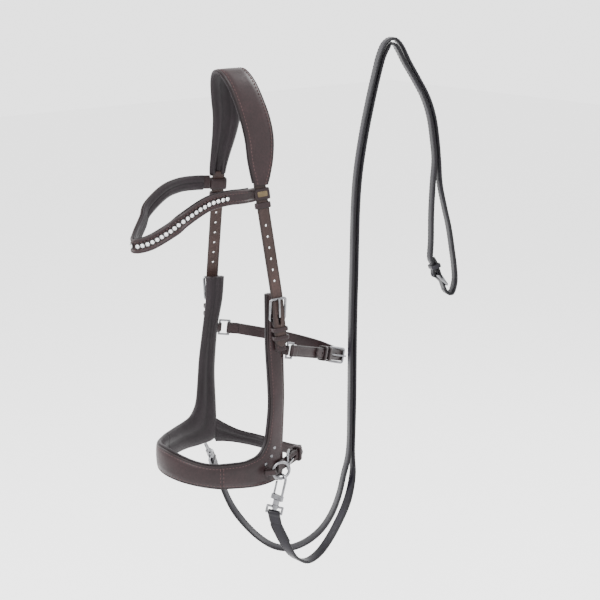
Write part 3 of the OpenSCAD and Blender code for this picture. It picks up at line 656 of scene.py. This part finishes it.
RIGHT_RUN = [[-0.088, 0.046, -0.634], [-0.076, 0.055, -0.664], [-0.056, 0.069, -0.692],
             [-0.036, 0.082, -0.709], [-0.017, 0.093, -0.715], [0.002, 0.104, -0.711],
             [0.022, 0.116, -0.697], [0.041, 0.126, -0.675], [0.057, 0.132, -0.647],
             [0.069, 0.1355, -0.615], [0.0765, 0.138, -0.581]]
LEFT_TAIL = [[0.273, -0.152], [0.272, -0.192], [0.2725, -0.232]]
RIGHT_TAIL = [[0.2825, -0.152], [0.289, -0.182], [0.2965, -0.213], [0.302, -0.245], [0.3055, -0.268],
              [0.307, -0.288]]
REIN_HEEL, REIN_WAY, REIN_L = vec(0.2845, -0.278), vec(0.33, -0.944), 0.018
REIN_DIR = PLANE_X * REIN_WAY[0] + vec(0, 0, REIN_WAY[1])
LEAN_SIDE = unit(vec(1, 0, 0) + PLANE_N)

RING_AT = {LEFT: vec(0.09, 0.011, -0.534), RIGHT: vec(0.09, 0.004, -0.526)}
RING_TURN = 20
RING_OUT = turned(-RING_TURN)
RING_BACK = vec(sin(radians(RING_TURN)), cos(radians(RING_TURN)), 0)
HOOK_AT = {LEFT: 86, RIGHT: 60}
HANG = {LEFT: unit((-0.045, -0.24, -0.925)), RIGHT: unit((0.1, 0.42, -0.88))}
EYE_FACE, EYE_DOWN = -40, 0.050
BILLET_L = 0.014
BILLET_WAY = {LEFT: unit((0.10, 0.25, -0.96)), RIGHT: unit((-0.15, 0.15, -0.97))}
BILLET_LEAN = {LEFT: -0.42, RIGHT: 0.0}


def hung(q):
    return PLANE_X * q[0] + PLANE_N * PLANE_AT + vec(0, 0, q[1])


def hook_point(side):
    a = radians(HOOK_AT[side])
    return RING_AT[side] + RING_R * (cos(a) * RING_BACK - vec(0, 0, sin(a)))


def eye_bar(side):
    return hook_point(side) + HANG[side] * EYE_DOWN


def eye_axis(side):
    return unit(np.cross(turned(EYE_FACE), -HANG[side]))


def square_way(side):
    x = eye_axis(side)
    return unit(BILLET_WAY[side] - x * (BILLET_WAY[side] @ x))


def lean_way(side):
    return unit(square_way(side) + eye_axis(side) * BILLET_LEAN[side])


def rein_start(side):
    return [mirrored(eye_bar(side) + lean_way(side) * (BILLET_L + d), side) for d in (0.001, 0.007)]


OVER_PEG = 11


def spread(i):
    return 1 + 0.25 * max(1 - abs(i - OVER_PEG) / 3, 0)


def pair_line(off):
    line = []
    for i in range(len(PAIR)):
        t = unit(hung(PAIR[min(i + 1, len(PAIR) - 1)]) - hung(PAIR[max(i - 1, 0)]))
        line.append(hung(PAIR[i]) - off * spread(i) * unit(np.cross(t, LEAN_SIDE)))
    return line


def rein_side(side, i):
    """The direction of a rein's width at point i of its line."""
    bar = mirrored(eye_axis(side), side)
    before = 2 + len(LEFT_RUN if side == LEFT else RIGHT_RUN)
    p = ramp(i, 1, 4) if side == LEFT else ramp(i, 3, 7)
    run = vec(-1, 0, 0) if side == LEFT else LEAN_SIDE
    q = ramp(i, before - 2, before)
    return unit(bar * (1 - p) + run * p * (1 - q) - side * LEAN_SIDE * q)


rein_place = Place(hung(REIN_HEEL), REIN_DIR, np.cross(LEAN_SIDE, REIN_DIR))


def beyond(q):
    """A point of the rein buckle's plane of symmetry, [along, outward]."""
    return rein_place.at(0, *q)


CHAPE_END = [[-0.025, -0.005], [-0.0163, -0.0046]]
BEND = [[0.0315, 0.0105], [0.033, 0.0055], [0.0295, 0.0013], [REIN_L + 0.005, 0]]
LINES = {
    LEFT: rein_start(LEFT) + [vec(*q) for q in LEFT_RUN] + pair_line(-HALF_PAIR)
    + [hung(q) for q in LEFT_TAIL] + [beyond(q) for q in CHAPE_END],
    RIGHT: rein_start(RIGHT) + [vec(*q) for q in RIGHT_RUN] + pair_line(HALF_PAIR)
    + [hung(q) for q in RIGHT_TAIL] + [beyond(q) for q in BEND],
}
REIN_STEPS = 10
LAP_ROWS = slice(1, 14)


def rein_rows(side):
    path = smooth(LINES[side], REIN_STEPS)
    tangents = np.gradient(path, axis=0)
    rows = []
    for i, (p, t) in enumerate(zip(path, tangents)):
        t = unit(t)
        a = rein_side(side, i / REIN_STEPS)
        s = unit(a - t * (a @ t)) * REIN_W / 2
        rows.append([p - s, p + s])
    return np.array(rows)


def rein_profile():
    """Thick folded leather, both faces slightly crowned, with a crease along its rims that carries painted
    shade.
    """
    h = REIN_T / 2
    # The crease near each edge is darkened (0.8 at its bottom), a painted shade; the rounded sides are the
    # burnished edges.
    face = [(0, 0, h, 0), (0.5, 0, h - 0.0001, 0), (1, -0.0030, h - 0.0002, 0),
            (1, -0.0025, h - 0.00055, 0.8), (1, -0.0020, h - 0.0003, 0.2), (1, -0.0011, h - 0.0004, 0.6),
            (1, -0.0004, h - 0.0009, 1), (1, 0, h - 0.0016, 1)]
    under = [(a, b, -c, d) for a, b, c, d in face]
    return rounded(under + face[::-1])


def make_rein(side, name):
    rows = even(rein_rows(side), 0.0028)
    piece = band(name, rows, rein_profile(), REIN)
    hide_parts(name)
    path = rows.mean(1)
    exit_at = path[0]
    seams = [seam_line(rows, s, -s * 0.0018, REIN_T / 2 - 0.0003) for s in (1, -1)]
    back = [seam_line(rows, s, -s * 0.0018, -REIN_T / 2 + 0.0003) for s in (1, -1)]
    back = [(points, -outs) for points, outs in back]
    thread = stitches(name + "_stitches", seams + back, REIN_THREAD)
    return piece, thread, exit_at, rows


def reins():
    chape = folded("rein_chape_leather", rein_place, 0.012, REIN_BAR_R, 0.016, "bridle", REIN,
                   node="rein_chape")
    point = tapered(straight(REIN_L + 0.0046, -0.024, REIN_W - 0.001), 0.009, REIN_W - 0.001, 0.7)
    tip = band("rein_tip_leather", rein_place.line(point)[:, ::-1], strap_profile(STRAP_T, 0.0003), REIN)
    cut(tip, [prong_slot(rein_place)])
    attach(tip, "bridle")
    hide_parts("rein_tip")
    keeper("rein_keeper", rein_place, REIN_W - 0.001, 0.006, BELOW_CHAPE, -0.012, "bridle", material=REIN)
    for side, word in ((LEFT, "left"), (RIGHT, "right")):
        piece, thread, start, rows = make_rein(side, word + "_rein")
        lap = rows[LAP_ROWS] + frames(rows)[2][LAP_ROWS, None, :] * (REIN_T / 2 + 0.0010)
        layer = band(word + "_rein_lap", lap, strap_profile(0.002, 0.0002, 0), REIN)
        for p in (piece, thread, layer):
            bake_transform(p)


def billets():
    for side, word in ((LEFT, "left"), (RIGHT, "right")):
        way = -square_way(side)
        place = Place(eye_bar(side), way, np.cross(eye_axis(side), way), side)
        lean = BILLET_LEAN[side]
        r = 0.0016 + 0.0013
        path = [(y, 0.0014 + 0.0006 * (1 + y / 0.010)) for y in np.linspace(-BILLET_L, -0.004, 6)]
        path += [(r * sin(radians(a)), r * cos(radians(a))) for a in range(-20, 201, 20)]
        path += [(y, -0.0014 - 0.0006 * (1 + y / 0.010)) for y in np.linspace(-0.004, -BILLET_L, 6)]
        h = side * STRAP_W / 2
        rows = []
        for y, z in path:
            slide = -lean * min(y, 0)
            rows.append([place.at(h + slide, y, z), place.at(-h + slide, y, z)])
        piece = band(word + "_rein_fold", even(np.array(rows), 0.001), strap_profile(0.0024, 0.0002, 0),
                     REIN)
        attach(piece, word + "_eye")
        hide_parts(word + "_rein_billet")


# ---- crown ----
# [x, y, z, width, turn in degrees] from the crown's middle down
CROWN_HALF = [[0, 0, 0.0045, 0.044, 0], [0.011, 0.001, 0.0005, 0.044, 0], [0.021, 0.005, -0.013, 0.045, 0],
              [0.0285, 0.011, -0.035, 0.045, 2], [0.0335, 0.017, -0.059, 0.045, 4],
              [0.0385, 0.0195, -0.084, 0.043, 5], [0.0435, 0.017, -0.11, 0.038, 6],
              [0.0475, 0.014, -0.13, 0.028, 10], [0.0492, 0.0125, -0.143, 0.02, 14]]
FAR_HALF = [[0, 0, 0.0045, 0.044, 0], [0.011, 0.001, 0.0005, 0.043, 0], [0.021, 0.0055, -0.013, 0.043, 0],
            [0.0285, 0.012, -0.035, 0.042, -3], [0.0335, 0.018, -0.059, 0.041, -6],
            [0.0385, 0.018, -0.084, 0.036, -7], [0.0435, 0.015, -0.11, 0.029, -8],
            [0.0475, 0.013, -0.13, 0.023, -14], [0.0492, 0.0125, -0.143, 0.02, -20]]
FINE = 12
KEEPER_AT = 0.043


def crown():
    halves = [edges(q, RIGHT) for q in FAR_HALF[::-1]] + [edges(q, LEFT) for q in CROWN_HALF[1:]]
    rows = smooth(halves, FINE)
    top = band("crown_top", even(rows, 0.003), strap_profile(crown=0.0006), HAVANA)
    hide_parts("crown_leather")
    thread = stitches("crown_stitches", edge_seams(even(rows, 0.003), 0.0048, STRAP_T / 2 + 0.0004))
    inner = even(rows[4:-4], 0.003)
    pad = 0.0032
    h = -STRAP_T / 2
    # Painted shade in the fourth numbers: 0.3 in the hollow between the two rolls, and 0.3 to 1 where the
    # rolls meet the strap.
    roll = rounded([(0, 0, h - 0.0009, 0.3), (0.30, 0, h - 0.0010, 0.3), (0.36, 0, h - 0.0022, 0),
                    (0.52, 0, h - pad - 0.0006, 0), (0.78, 0, h - pad - 0.0014, 0),
                    (1, -0.0016, h - pad + 0.0002, 0),
                    (1, 0.0008, h - 0.55 * pad, 0), (1, 0.0012, h - 0.0010, 0), (1, 0.0009, h + 0.0006, 0),
                    (1, 0.0004, h + 0.0010, 0.3), (1, 0, h + 0.0004, 1), (1, -0.002, h - 0.0001, 1),
                    (0, 0, h - 0.0001, 0)])
    data = frames(inner)
    rings = []
    for i in range(len(inner)):
        thick = 1 + 0.7 * max(abs(2 * i / (len(inner) - 1) - 1) - 0.86, 0) / 0.14
        shape = roll[:, :3].copy()
        shape[:, 2] = np.where(shape[:, 2] < h, h + (shape[:, 2] - h) * thick, shape[:, 2])
        rings.append(lay(shape, data, i))
    verts, faces = tube(rings)
    cushion = new_piece("crown_pad", verts, faces, LINING, list(roll[:, 3]) * len(rings))
    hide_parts("crown_padding")
    for p in (top, thread, cushion):
        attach(p, "bridle")


def crown_straps():
    for side, word in ((LEFT, "left"), (RIGHT, "right")):
        upper, lower = strap_place(side), buckle_place(side)
        reach = np.linalg.norm(STRAP_BEND - STRAP_HEEL)
        rows = list(upper.line(straight(-0.010, -UPPER_L, STRAP_W)))[:-1]
        rows += list(lower.line(tapered(straight(reach, -STRAP_END, STRAP_W), 0.009, STRAP_W)))
        rows = np.array(rows)[:, ::-1]
        body = rows[:-9]
        rows = np.concatenate([eased(body, 6), rows[-9:]])
        piece = band(word + "_crown_strap_leather", rows, strap_profile(), BROWN)
        holes = round_cutter(upper, [(0, -0.070 - 0.015 * i) for i in range(6)], 0.00175)
        cut(piece, [holes, prong_slot(lower)])
        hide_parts(word + "_crown_strap")
        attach(piece, "bridle")
        keeper(word + "_crown_keeper", strap_place(side, KEEPER_AT), STRAP_W, 0.008, STRAP_T / 2 + GAP, 0,
               "bridle", node="crown_keepers" if side == LEFT else ())


# ---- cheeks and noseband ----
LEFT_UPRIGHT = [[0.0627, 0.022, -0.29, 0.023, 14], [0.0642, 0.0223, -0.324, 0.025, 14],
                [0.0676, 0.0196, -0.362, 0.025, 10], [0.0733, 0.0175, -0.41, 0.025, 0],
                [0.0752, 0.0165, -0.445, 0.026, -6]]
RIGHT_UPRIGHT = [[0.063, 0.0155, -0.29, 0.024, -20], [0.065, 0.0145, -0.324, 0.022, -18],
                 [0.0692, 0.01, -0.362, 0.02, -14], [0.0733, 0.006, -0.41, 0.023, -8],
                 [0.0753, 0.005, -0.44, 0.025, -5]]
CHEEK_TURN = [[1, -0.478, 16.5, -0.496], [-1.5, -0.492, 16.5, -0.527], [-6, -0.502, 14.5, -0.543],
              [-13, -0.506, 4, -0.547], [-22, -0.5075, -12, -0.5455], [-37, -0.507, -37, -0.541]]
SEAM = 37
NOSE_TOP, NOSE_BOTTOM, NOSE_LIFT = -0.507, -0.541, (0.013, 0.0085)


def cheek_rows(side):
    base = 0 if side == LEFT else 180
    uprights = LEFT_UPRIGHT if side == LEFT else RIGHT_UPRIGHT
    turn = [[seat(base + side * q[0], q[1]), seat(base + side * q[2], q[3])] for q in CHEEK_TURN]
    return smooth([edges(q, side) for q in uprights] + turn, FINE)


def noseband():
    """Cheekpieces and nose piece: one line of rows, cut into three pieces at the seams."""
    left, right = cheek_rows(LEFT), cheek_rows(RIGHT)[::-1]
    count = 80
    nose = []
    for i in range(1, count):
        phi = -SEAM - i * (180 - 2 * SEAM) / count
        arch = sin(pi * i / count)
        nose.append([seat(phi, NOSE_TOP + NOSE_LIFT[0] * arch**2),
                     seat(phi, NOSE_BOTTOM + NOSE_LIFT[1] * arch)])
    rows = np.concatenate([left, np.array(nose), right])
    a, b = len(left) - 1, len(left) - 1 + count
    data = frames(rows)
    parts = (("left_cheek", 0, a + 1), ("nose", a, b + 1), ("right_cheek", b, len(rows)))
    for word, i0, i1 in parts:
        for kind, profile, material, slot in (
                ("leather", strap_profile(crown=0.0014), HAVANA, "dark_leather"),
                ("padding", pad_profile(), LINING, "soft_padding")):
            rings = [lay(profile[:, :3], data, i) for i in range(i0, i1)]
            verts, faces = tube(rings)
            piece = new_piece(f"{word}_{kind}_piece", verts, faces, material,
                              list(profile[:, 3]) * len(rings))
            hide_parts(f"{word}_{kind}")
            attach(piece, "bridle")
    lines = edge_seams(rows, 0.0044, STRAP_T / 2 + 0.0004)
    for i in (a, b):
        c, s, n, half = (d[i] for d in data)
        across = np.linspace(-0.8, 0.8, 12)[:, None] * half * s
        t = unit(data[0][i + 1] - data[0][i - 1])
        for off in (-0.0022, 0.0022):
            lines.append((c + across + n * (STRAP_T / 2 + 0.0012) + t * off, np.tile(n, (12, 1))))
    thread = stitches("noseband_stitches", lines)
    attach(thread, "bridle")


# ---- browband ----
BROW_HALF = [[0, -0.157, -0.209], [0.017, -0.144, -0.204], [0.033, -0.122, -0.1885],
             [0.043, -0.107, -0.1745], [0.0495, -0.076, -0.158], [0.054, -0.048, -0.153],
             [0.0545, -0.022, -0.1535], [0.0485, -0.0005, -0.1545]]
BROW_UP = [0, 0, 0, 0.0008, 0.002, 0.0026, 0.003, 0.003]
LOOP_AT = {LEFT: 0.028, RIGHT: 0.027}


def brow_rows(step):
    line = [[-q[0], q[1], q[2] + up] for q, up in zip(BROW_HALF[::-1], BROW_UP[::-1])]
    line += [list(q) for q in BROW_HALF[1:]]
    path = smooth(line[::-1], step)
    rows = []
    for i, p in enumerate(path):
        t = unit(path[min(i + 1, len(path) - 1)] - path[max(i - 1, 0)])
        s = unit(vec(0, 0, 1) - t * t[2]) * BROW_W / 2
        rows.append([p + s, p - s])
    return np.array(rows)


def browband():
    rows = even(brow_rows(FINE), 0.0025)
    h = STRAP_T / 2
    # Fourth numbers: burnished rims, and painted shade at the inner foot of the raised rims and over the
    # channel floor under the crystals.
    front = rounded([(0, 0, -h, 0), (1, -0.0010, -h, 0.4), (1, 0, -h + 0.0010, 1),
                     (1, 0.0004, h - 0.0002, 0.6),
                     (1, -0.0001, h + 0.0010, 0.1), (1, -0.0014, h + 0.0017, 0), (1, -0.0029, h + 0.0015, 0),
                     (1, -0.0040, h + 0.0006, 0.4), (1, -0.0044, h + 0.0002, 1), (0.4, 0, h + 0.0002, 0.3),
                     (0, 0, h + 0.0002, 0.3)])
    piece = band("browband_front", rows, front, HAVANA)
    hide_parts("browband_leather")
    back = -h - 0.0036
    # Painted shade: 0.8 in the seam down the back of the roll, and up to 1 where the roll meets the strap.
    roll = rounded([(0, 0, back + 0.0016, 0.8), (0.16, 0, back + 0.0004, 0), (0.5, 0, back - 0.0008, 0),
                    (1, -0.0018, back + 0.0002, 0), (1, 0.0006, back + 0.0016, 0),
                    (1, 0.0012, -h - 0.0008, 0),
                    (1, 0.0004, -h + 0.0004, 0.3), (1, -0.0006, -h, 1), (0, 0, -h - 0.0001, 0)])
    cushion = band("browband_pad", rows[4:-4], roll, LINING)
    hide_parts("browband_padding")
    thread = stitches("browband_stitches", edge_seams(rows, 0.0042, h + 0.0006, 6, -6))
    for p in (piece, cushion, thread):
        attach(p, "browband")
    for side, word in ((LEFT, "left"), (RIGHT, "right")):
        place = strap_place(side, LOOP_AT[side])
        deep = STRAP_T / 2 + 0.0013
        keeper(word + "_browband_loop", place, STRAP_W + 0.0016, 0.0155, deep, 0, "browband", above=deep,
               node="browband_loops" if side == LEFT else ())
    stones(brow_rows(3))


def stones(rows):
    """A cut crystal over each cup, on the CAD's own even pitch."""
    middle = rows.mean(1)
    at = lengths(middle)
    pitch = STONE_D + 0.0013
    centre = at[(len(at) - 1) // 2]
    verts, faces = [], []
    for k in range(STONE_COUNT):
        s = centre + (k - (STONE_COUNT - 1) / 2) * pitch
        i = int(np.searchsorted(at, s, "right") - 1)
        f = (s - at[i]) / (at[i + 1] - at[i])
        along = middle[i + 1] - middle[i]
        n = unit(np.cross(rows[i][0] - rows[i][1], along))
        place = Place(middle[i] * (1 - f) + middle[i + 1] * f + n * (STRAP_T / 2 + GAP), along, n)
        r = STONE_D / 2
        base = len(verts)
        for radius, z, turn in ((r * 0.82, 0.0006, 0), (r, 0.0014, 0),
                                (r * 0.80, 0.0021, 0.5), (r * 0.52, 0.0026, 0)):
            for a in range(8):
                angle = 2 * pi * (a + turn) / 8
                verts.append(place.at(radius * cos(angle), radius * sin(angle), z))
        for ring in range(3):
            p, q = base + ring * 8, base + (ring + 1) * 8
            for a in range(8):
                b = (a + 1) % 8
                if ring == 0:
                    faces.append((p + a, p + b, q + b, q + a))
                elif ring == 1:
                    faces += [(p + a, p + b, q + a), (p + b, q + b, q + a)]
                else:
                    faces += [(p + a, p + b, q + b), (p + a, q + b, q + a)]
        faces += [tuple(base + a for a in range(8)), tuple(base + 24 + a for a in range(8))]
    piece = new_piece("crystals", verts, faces, GLINT_PAINTED_CRYSTAL, flat=True)
    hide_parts("stones")
    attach(piece, "browband")


# ---- cheek buckles ----
def cheek_buckles():
    for side, word in ((LEFT, "left"), (RIGHT, "right")):
        place = buckle_place(side)
        folded(word + "_cheek_fold", place, 0.015, BAR_R, 0.042, "bridle", node=word + "_cheek_chape")
        keeper(word + "_keeper", place, STRAP_W, 0.006, BELOW_CHAPE, -0.0125, "bridle",
               node=word + "_fixed_keeper")
        keeper(word + "_runner_loop", place, STRAP_W, 0.006, BELOW_CHAPE, -0.024, word + "_runner",
               node=word + "_runner")


# ---- throat ----
THROAT_RING_AT = {LEFT: vec(0.074, 0.035, -0.37), RIGHT: vec(0.072, 0.0295, -0.369)}
THROAT_END, THROAT_WAY = vec(0.036, 0.152, -0.4095), unit((-0.29, 0.92, -0.32))
RING_SPAN, THROAT_BAR, THROAT_L, BILLET_BACK = 0.014, 0.0015, 0.024, 0.048
TAB_TURN, TAB_L = {LEFT: 40, RIGHT: 44}, {LEFT: 0.007, RIGHT: 0.009}


def throat_dir(side):
    return THROAT_WAY if side == LEFT else unit((-0.5, 0.86, -0.12))


def throat_out(side):
    d = throat_dir(side)
    return unit(vec(d[1], -d[0], 0))


def wrap(name, place, width, r, thick, leaf, material=HAVANA, drop=0.0):
    """A short fold round a bar at the place's origin, its two leaves pressed together towards -y."""
    mid = r + thick / 2 + 0.0001
    path = [(y, -mid + drop) for y in np.linspace(-leaf, -0.001, 6)]
    path += [(mid * sin(radians(a)), -mid * cos(radians(a))) for a in range(0, 151, 15)]
    path += [(-r * 1.5, -mid + thick + 0.0004 + drop)]
    path += [(y, -mid + thick + drop) for y in np.linspace(-r * 1.5 - 0.0015, -leaf, 5)]
    h = place.side * width / 2
    rows = np.array([[place.at(-h, y, z), place.at(h, y, z)] for y, z in path])
    piece = band(name, even(rows, 0.0008), strap_profile(thick, 0.0001, 0), material)
    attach(piece, "bridle")
    return piece


def throat_straps():
    place = Place(THROAT_END, THROAT_WAY, throat_out(LEFT))
    start = THROAT_RING_AT[LEFT] + RING_SPAN * throat_dir(LEFT)
    span = np.linalg.norm(THROAT_END - start)
    run = Place(start, THROAT_END - start, throat_out(LEFT))
    back = Place(start, start - THROAT_END, throat_out(LEFT))
    wrap("left_throat_fold", back, THROAT_W, THROAT_BAR, 0.0018, 0.014)
    rows = run.line(straight(0.004, span - 0.026, THROAT_W, -0.0038))
    strap = band("left_throat_leather", rows, strap_profile(), HAVANA)
    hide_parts("left_throat_strap")
    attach(strap, "bridle")
    folded("throat_fold", place, 0.0145, BAR_R, 0.030, "bridle")
    billet = tapered(straight(THROAT_L + 0.0028, -BILLET_BACK, THROAT_W), 0.008, THROAT_W)
    tongue = band("throat_billet_leather", place.line(billet)[:, ::-1], strap_profile(), HAVANA)
    cut(tongue, [round_cutter(place, [(0, y) for y in (-0.018, -0.033)], 0.00175, 0.003),
                 prong_slot(place)])
    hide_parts("throat_billet")
    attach(tongue, "bridle")
    keeper("throat_keeper_loop", place, THROAT_W, 0.006, BELOW_CHAPE, -0.013, "bridle",
           node="throat_keeper")
    keeper("throat_runner_loop", place, THROAT_W, 0.006, BELOW_CHAPE, -0.025, "throat_runner",
           node="throat_runner")
    far = THROAT_RING_AT[RIGHT] + RING_SPAN * throat_dir(RIGHT)
    begin = mirrored(far, RIGHT)
    meet = THROAT_END + THROAT_WAY * (THROAT_L + 0.004)
    line = [begin + vec(0.004, 0.007, -0.001), vec(-0.044, 0.072, -0.3775), vec(-0.022, 0.110, -0.388),
            vec(0, 0.148, -0.402), vec(0.010, 0.168, -0.412), vec(0.020, 0.181, -0.4185), meet]
    path = smooth(line, FINE)
    rows = []
    for i, p in enumerate(path):
        t = unit(path[min(i + 1, len(path) - 1)] - path[max(i - 1, 0)])
        s = unit(vec(0, 0, -1) + t * t[2]) * THROAT_W / 2
        rows.append([p - s, p + s])
    rows = even(np.array(rows), 0.0025)
    long = band("right_throat_leather", rows, strap_profile(), HAVANA)
    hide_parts("right_throat_strap")
    thread = stitches("throat_stitches", edge_seams(rows, 0.0036))
    for p in (long, thread):
        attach(p, "bridle")
    wrap("right_throat_fold", Place(far, -throat_dir(RIGHT), throat_out(RIGHT), RIGHT), THROAT_W, THROAT_BAR,
         0.0018, 0.013)
    for side, word in ((LEFT, "left"), (RIGHT, "right")):
        bar = Place(THROAT_RING_AT[side], throat_dir(side), throat_out(side), side)
        a = radians(TAB_TURN[side])
        tilted = Place(bar.o, bar.v * cos(a) + bar.w * sin(a), bar.w * cos(a) - bar.v * sin(a), side)
        tab = wrap(word + "_throat_tab", tilted, 0.013, THROAT_BAR, 0.0016, TAB_L[side])
        if side == LEFT:
            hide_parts("throat_ring_tabs")


# ---- chin ----
CHIN_HEEL, CHIN_Z, CHIN_L = 28, -0.526, 0.020
# [degrees round the seat, z, outward, width]
CHIN_UP = [[163, -0.531, 0, 0.034], [154, -0.5385, 0, 0.025], [142, -0.547, 0, 0.018],
           [125, -0.554, 0, 0.017], [100, -0.5575, 0, 0.017], [78, -0.551, 0, 0.017],
           [56, -0.537, 0.0015, 0.017], [42, -0.527, 0.0032, 0.017]]
CHIN_PAD_ROWS = 34


def chin_strap():
    rows = smooth([[seat(phi, z + width / 2, out), seat(phi, z - width / 2, out)]
                   for phi, z, out, width in CHIN_UP], FINE)
    rows = even(rows, 0.0025)
    strap = band("right_chin_leather", rows, strap_profile(crown=0.0008), HAVANA)
    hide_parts("right_chin_strap")
    lining = band("chin_padding_piece", rows[:CHIN_PAD_ROWS], pad_profile(pad=0.003, bulge=0.0016), LINING)
    thread = stitches("chin_stitches", edge_seams(rows, 0.0038))
    for p in (strap, lining, thread):
        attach(p, "bridle")
    heel = seat(CHIN_HEEL, CHIN_Z, 0.0036)
    place = Place(heel, seat(CHIN_HEEL - 10, CHIN_Z, 0.003) - heel, seat_out(CHIN_HEEL - 4))
    folded("chin_fold", place, 0.015, BAR_R, 0.025, "bridle")
    width = CHIN_W - 0.001
    tongue = tapered(straight(CHIN_L + 0.020, -0.024, width), 0.008, width)
    billet = band("chin_billet_leather", place.line(tongue)[:, ::-1], strap_profile(), HAVANA)
    cut(billet, [prong_slot(place)])
    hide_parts("chin_billet")
    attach(billet, "bridle")
    keeper("chin_runner_loop", place, width, 0.006, BELOW_CHAPE, -0.015, "chin_runner", node="chin_runner")


# ---- rein ring tabs ----
def ring_tabs():
    for side, word in ((LEFT, "left"), (RIGHT, "right")):
        place = Place(RING_AT[side] - RING_R * RING_BACK, vec(0, 0, 1), RING_OUT, side)
        mid = RING_WIRE_R + 0.0006 + 0.0010
        path = [(x, mid) for x in np.linspace(-0.012, -0.001, 7)]
        path += [(mid * sin(radians(a)), mid * cos(radians(a))) for a in range(0, 181, 15)]
        path += [(x, -mid) for x in np.linspace(-0.001, -0.009, 6)]
        h = 0.004
        rows = np.array([[place.at(side * x, -h, z), place.at(side * x, h, z)] for x, z in path])
        piece = band(word + "_ring_tab", even(rows, 0.0008), strap_profile(0.002, 0.0001, 0), HAVANA)
        if side == LEFT:
            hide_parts("rein_ring_tabs")
        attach(piece, "bridle")


# ---- studio ----
def studio():
    lowest = cad_box[0][2]
    bpy.ops.mesh.primitive_plane_add(size=14, location=(0, 0, lowest - 0.35))
    floor = bpy.context.object
    floor.name = "floor"
    pale = new_material("pale_floor", (0.93, 0.93, 0.93), 0.8)
    floor.data.materials.append(pale)
    world = bpy.data.worlds.new("studio")
    bpy.context.scene.world = world
    world.use_nodes = True
    world.node_tree.nodes["Background"].inputs["Color"].default_value = (1, 1, 1, 1)
    world.node_tree.nodes["Background"].inputs["Strength"].default_value = 2.6
    for name, at, to, size, power in (
            ("key_light", vec(1.1, -1.3, 1.0), vec(0, 0, -0.3), 0.8, 60),
            ("side_light", vec(-1.2, -1.2, 0.6), vec(0, 0, -0.35), 0.9, 36),
            ("rim_light", vec(0.2, 1.7, 0.9), vec(0, 0.1, -0.3), 0.9, 40)):
        data = bpy.data.lights.new(name, "AREA")
        data.size = size
        data.energy = power
        lamp = bpy.data.objects.new(name, data)
        bpy.context.scene.collection.objects.link(lamp)
        look(lamp, at, to)


# ---- the parts, in order ----
STEEL_WORDS = ("frame", "prong", "snap", "swivel", "studs", "cups")
RINGS = ("left_throat_ring", "right_throat_ring", "left_rein_ring", "right_rein_ring")
billets()
reins()
crown()
crown_straps()
noseband()
browband()
cheek_buckles()
throat_straps()
chin_strap()
ring_tabs()
finish_metal([n for n in nodes if any(word in n for word in STEEL_WORDS) or n in RINGS], STEEL)
finish_metal(["browband_plate"], ANTIQUE)
finish_metal(["stone_cups"], CUP)
studio()
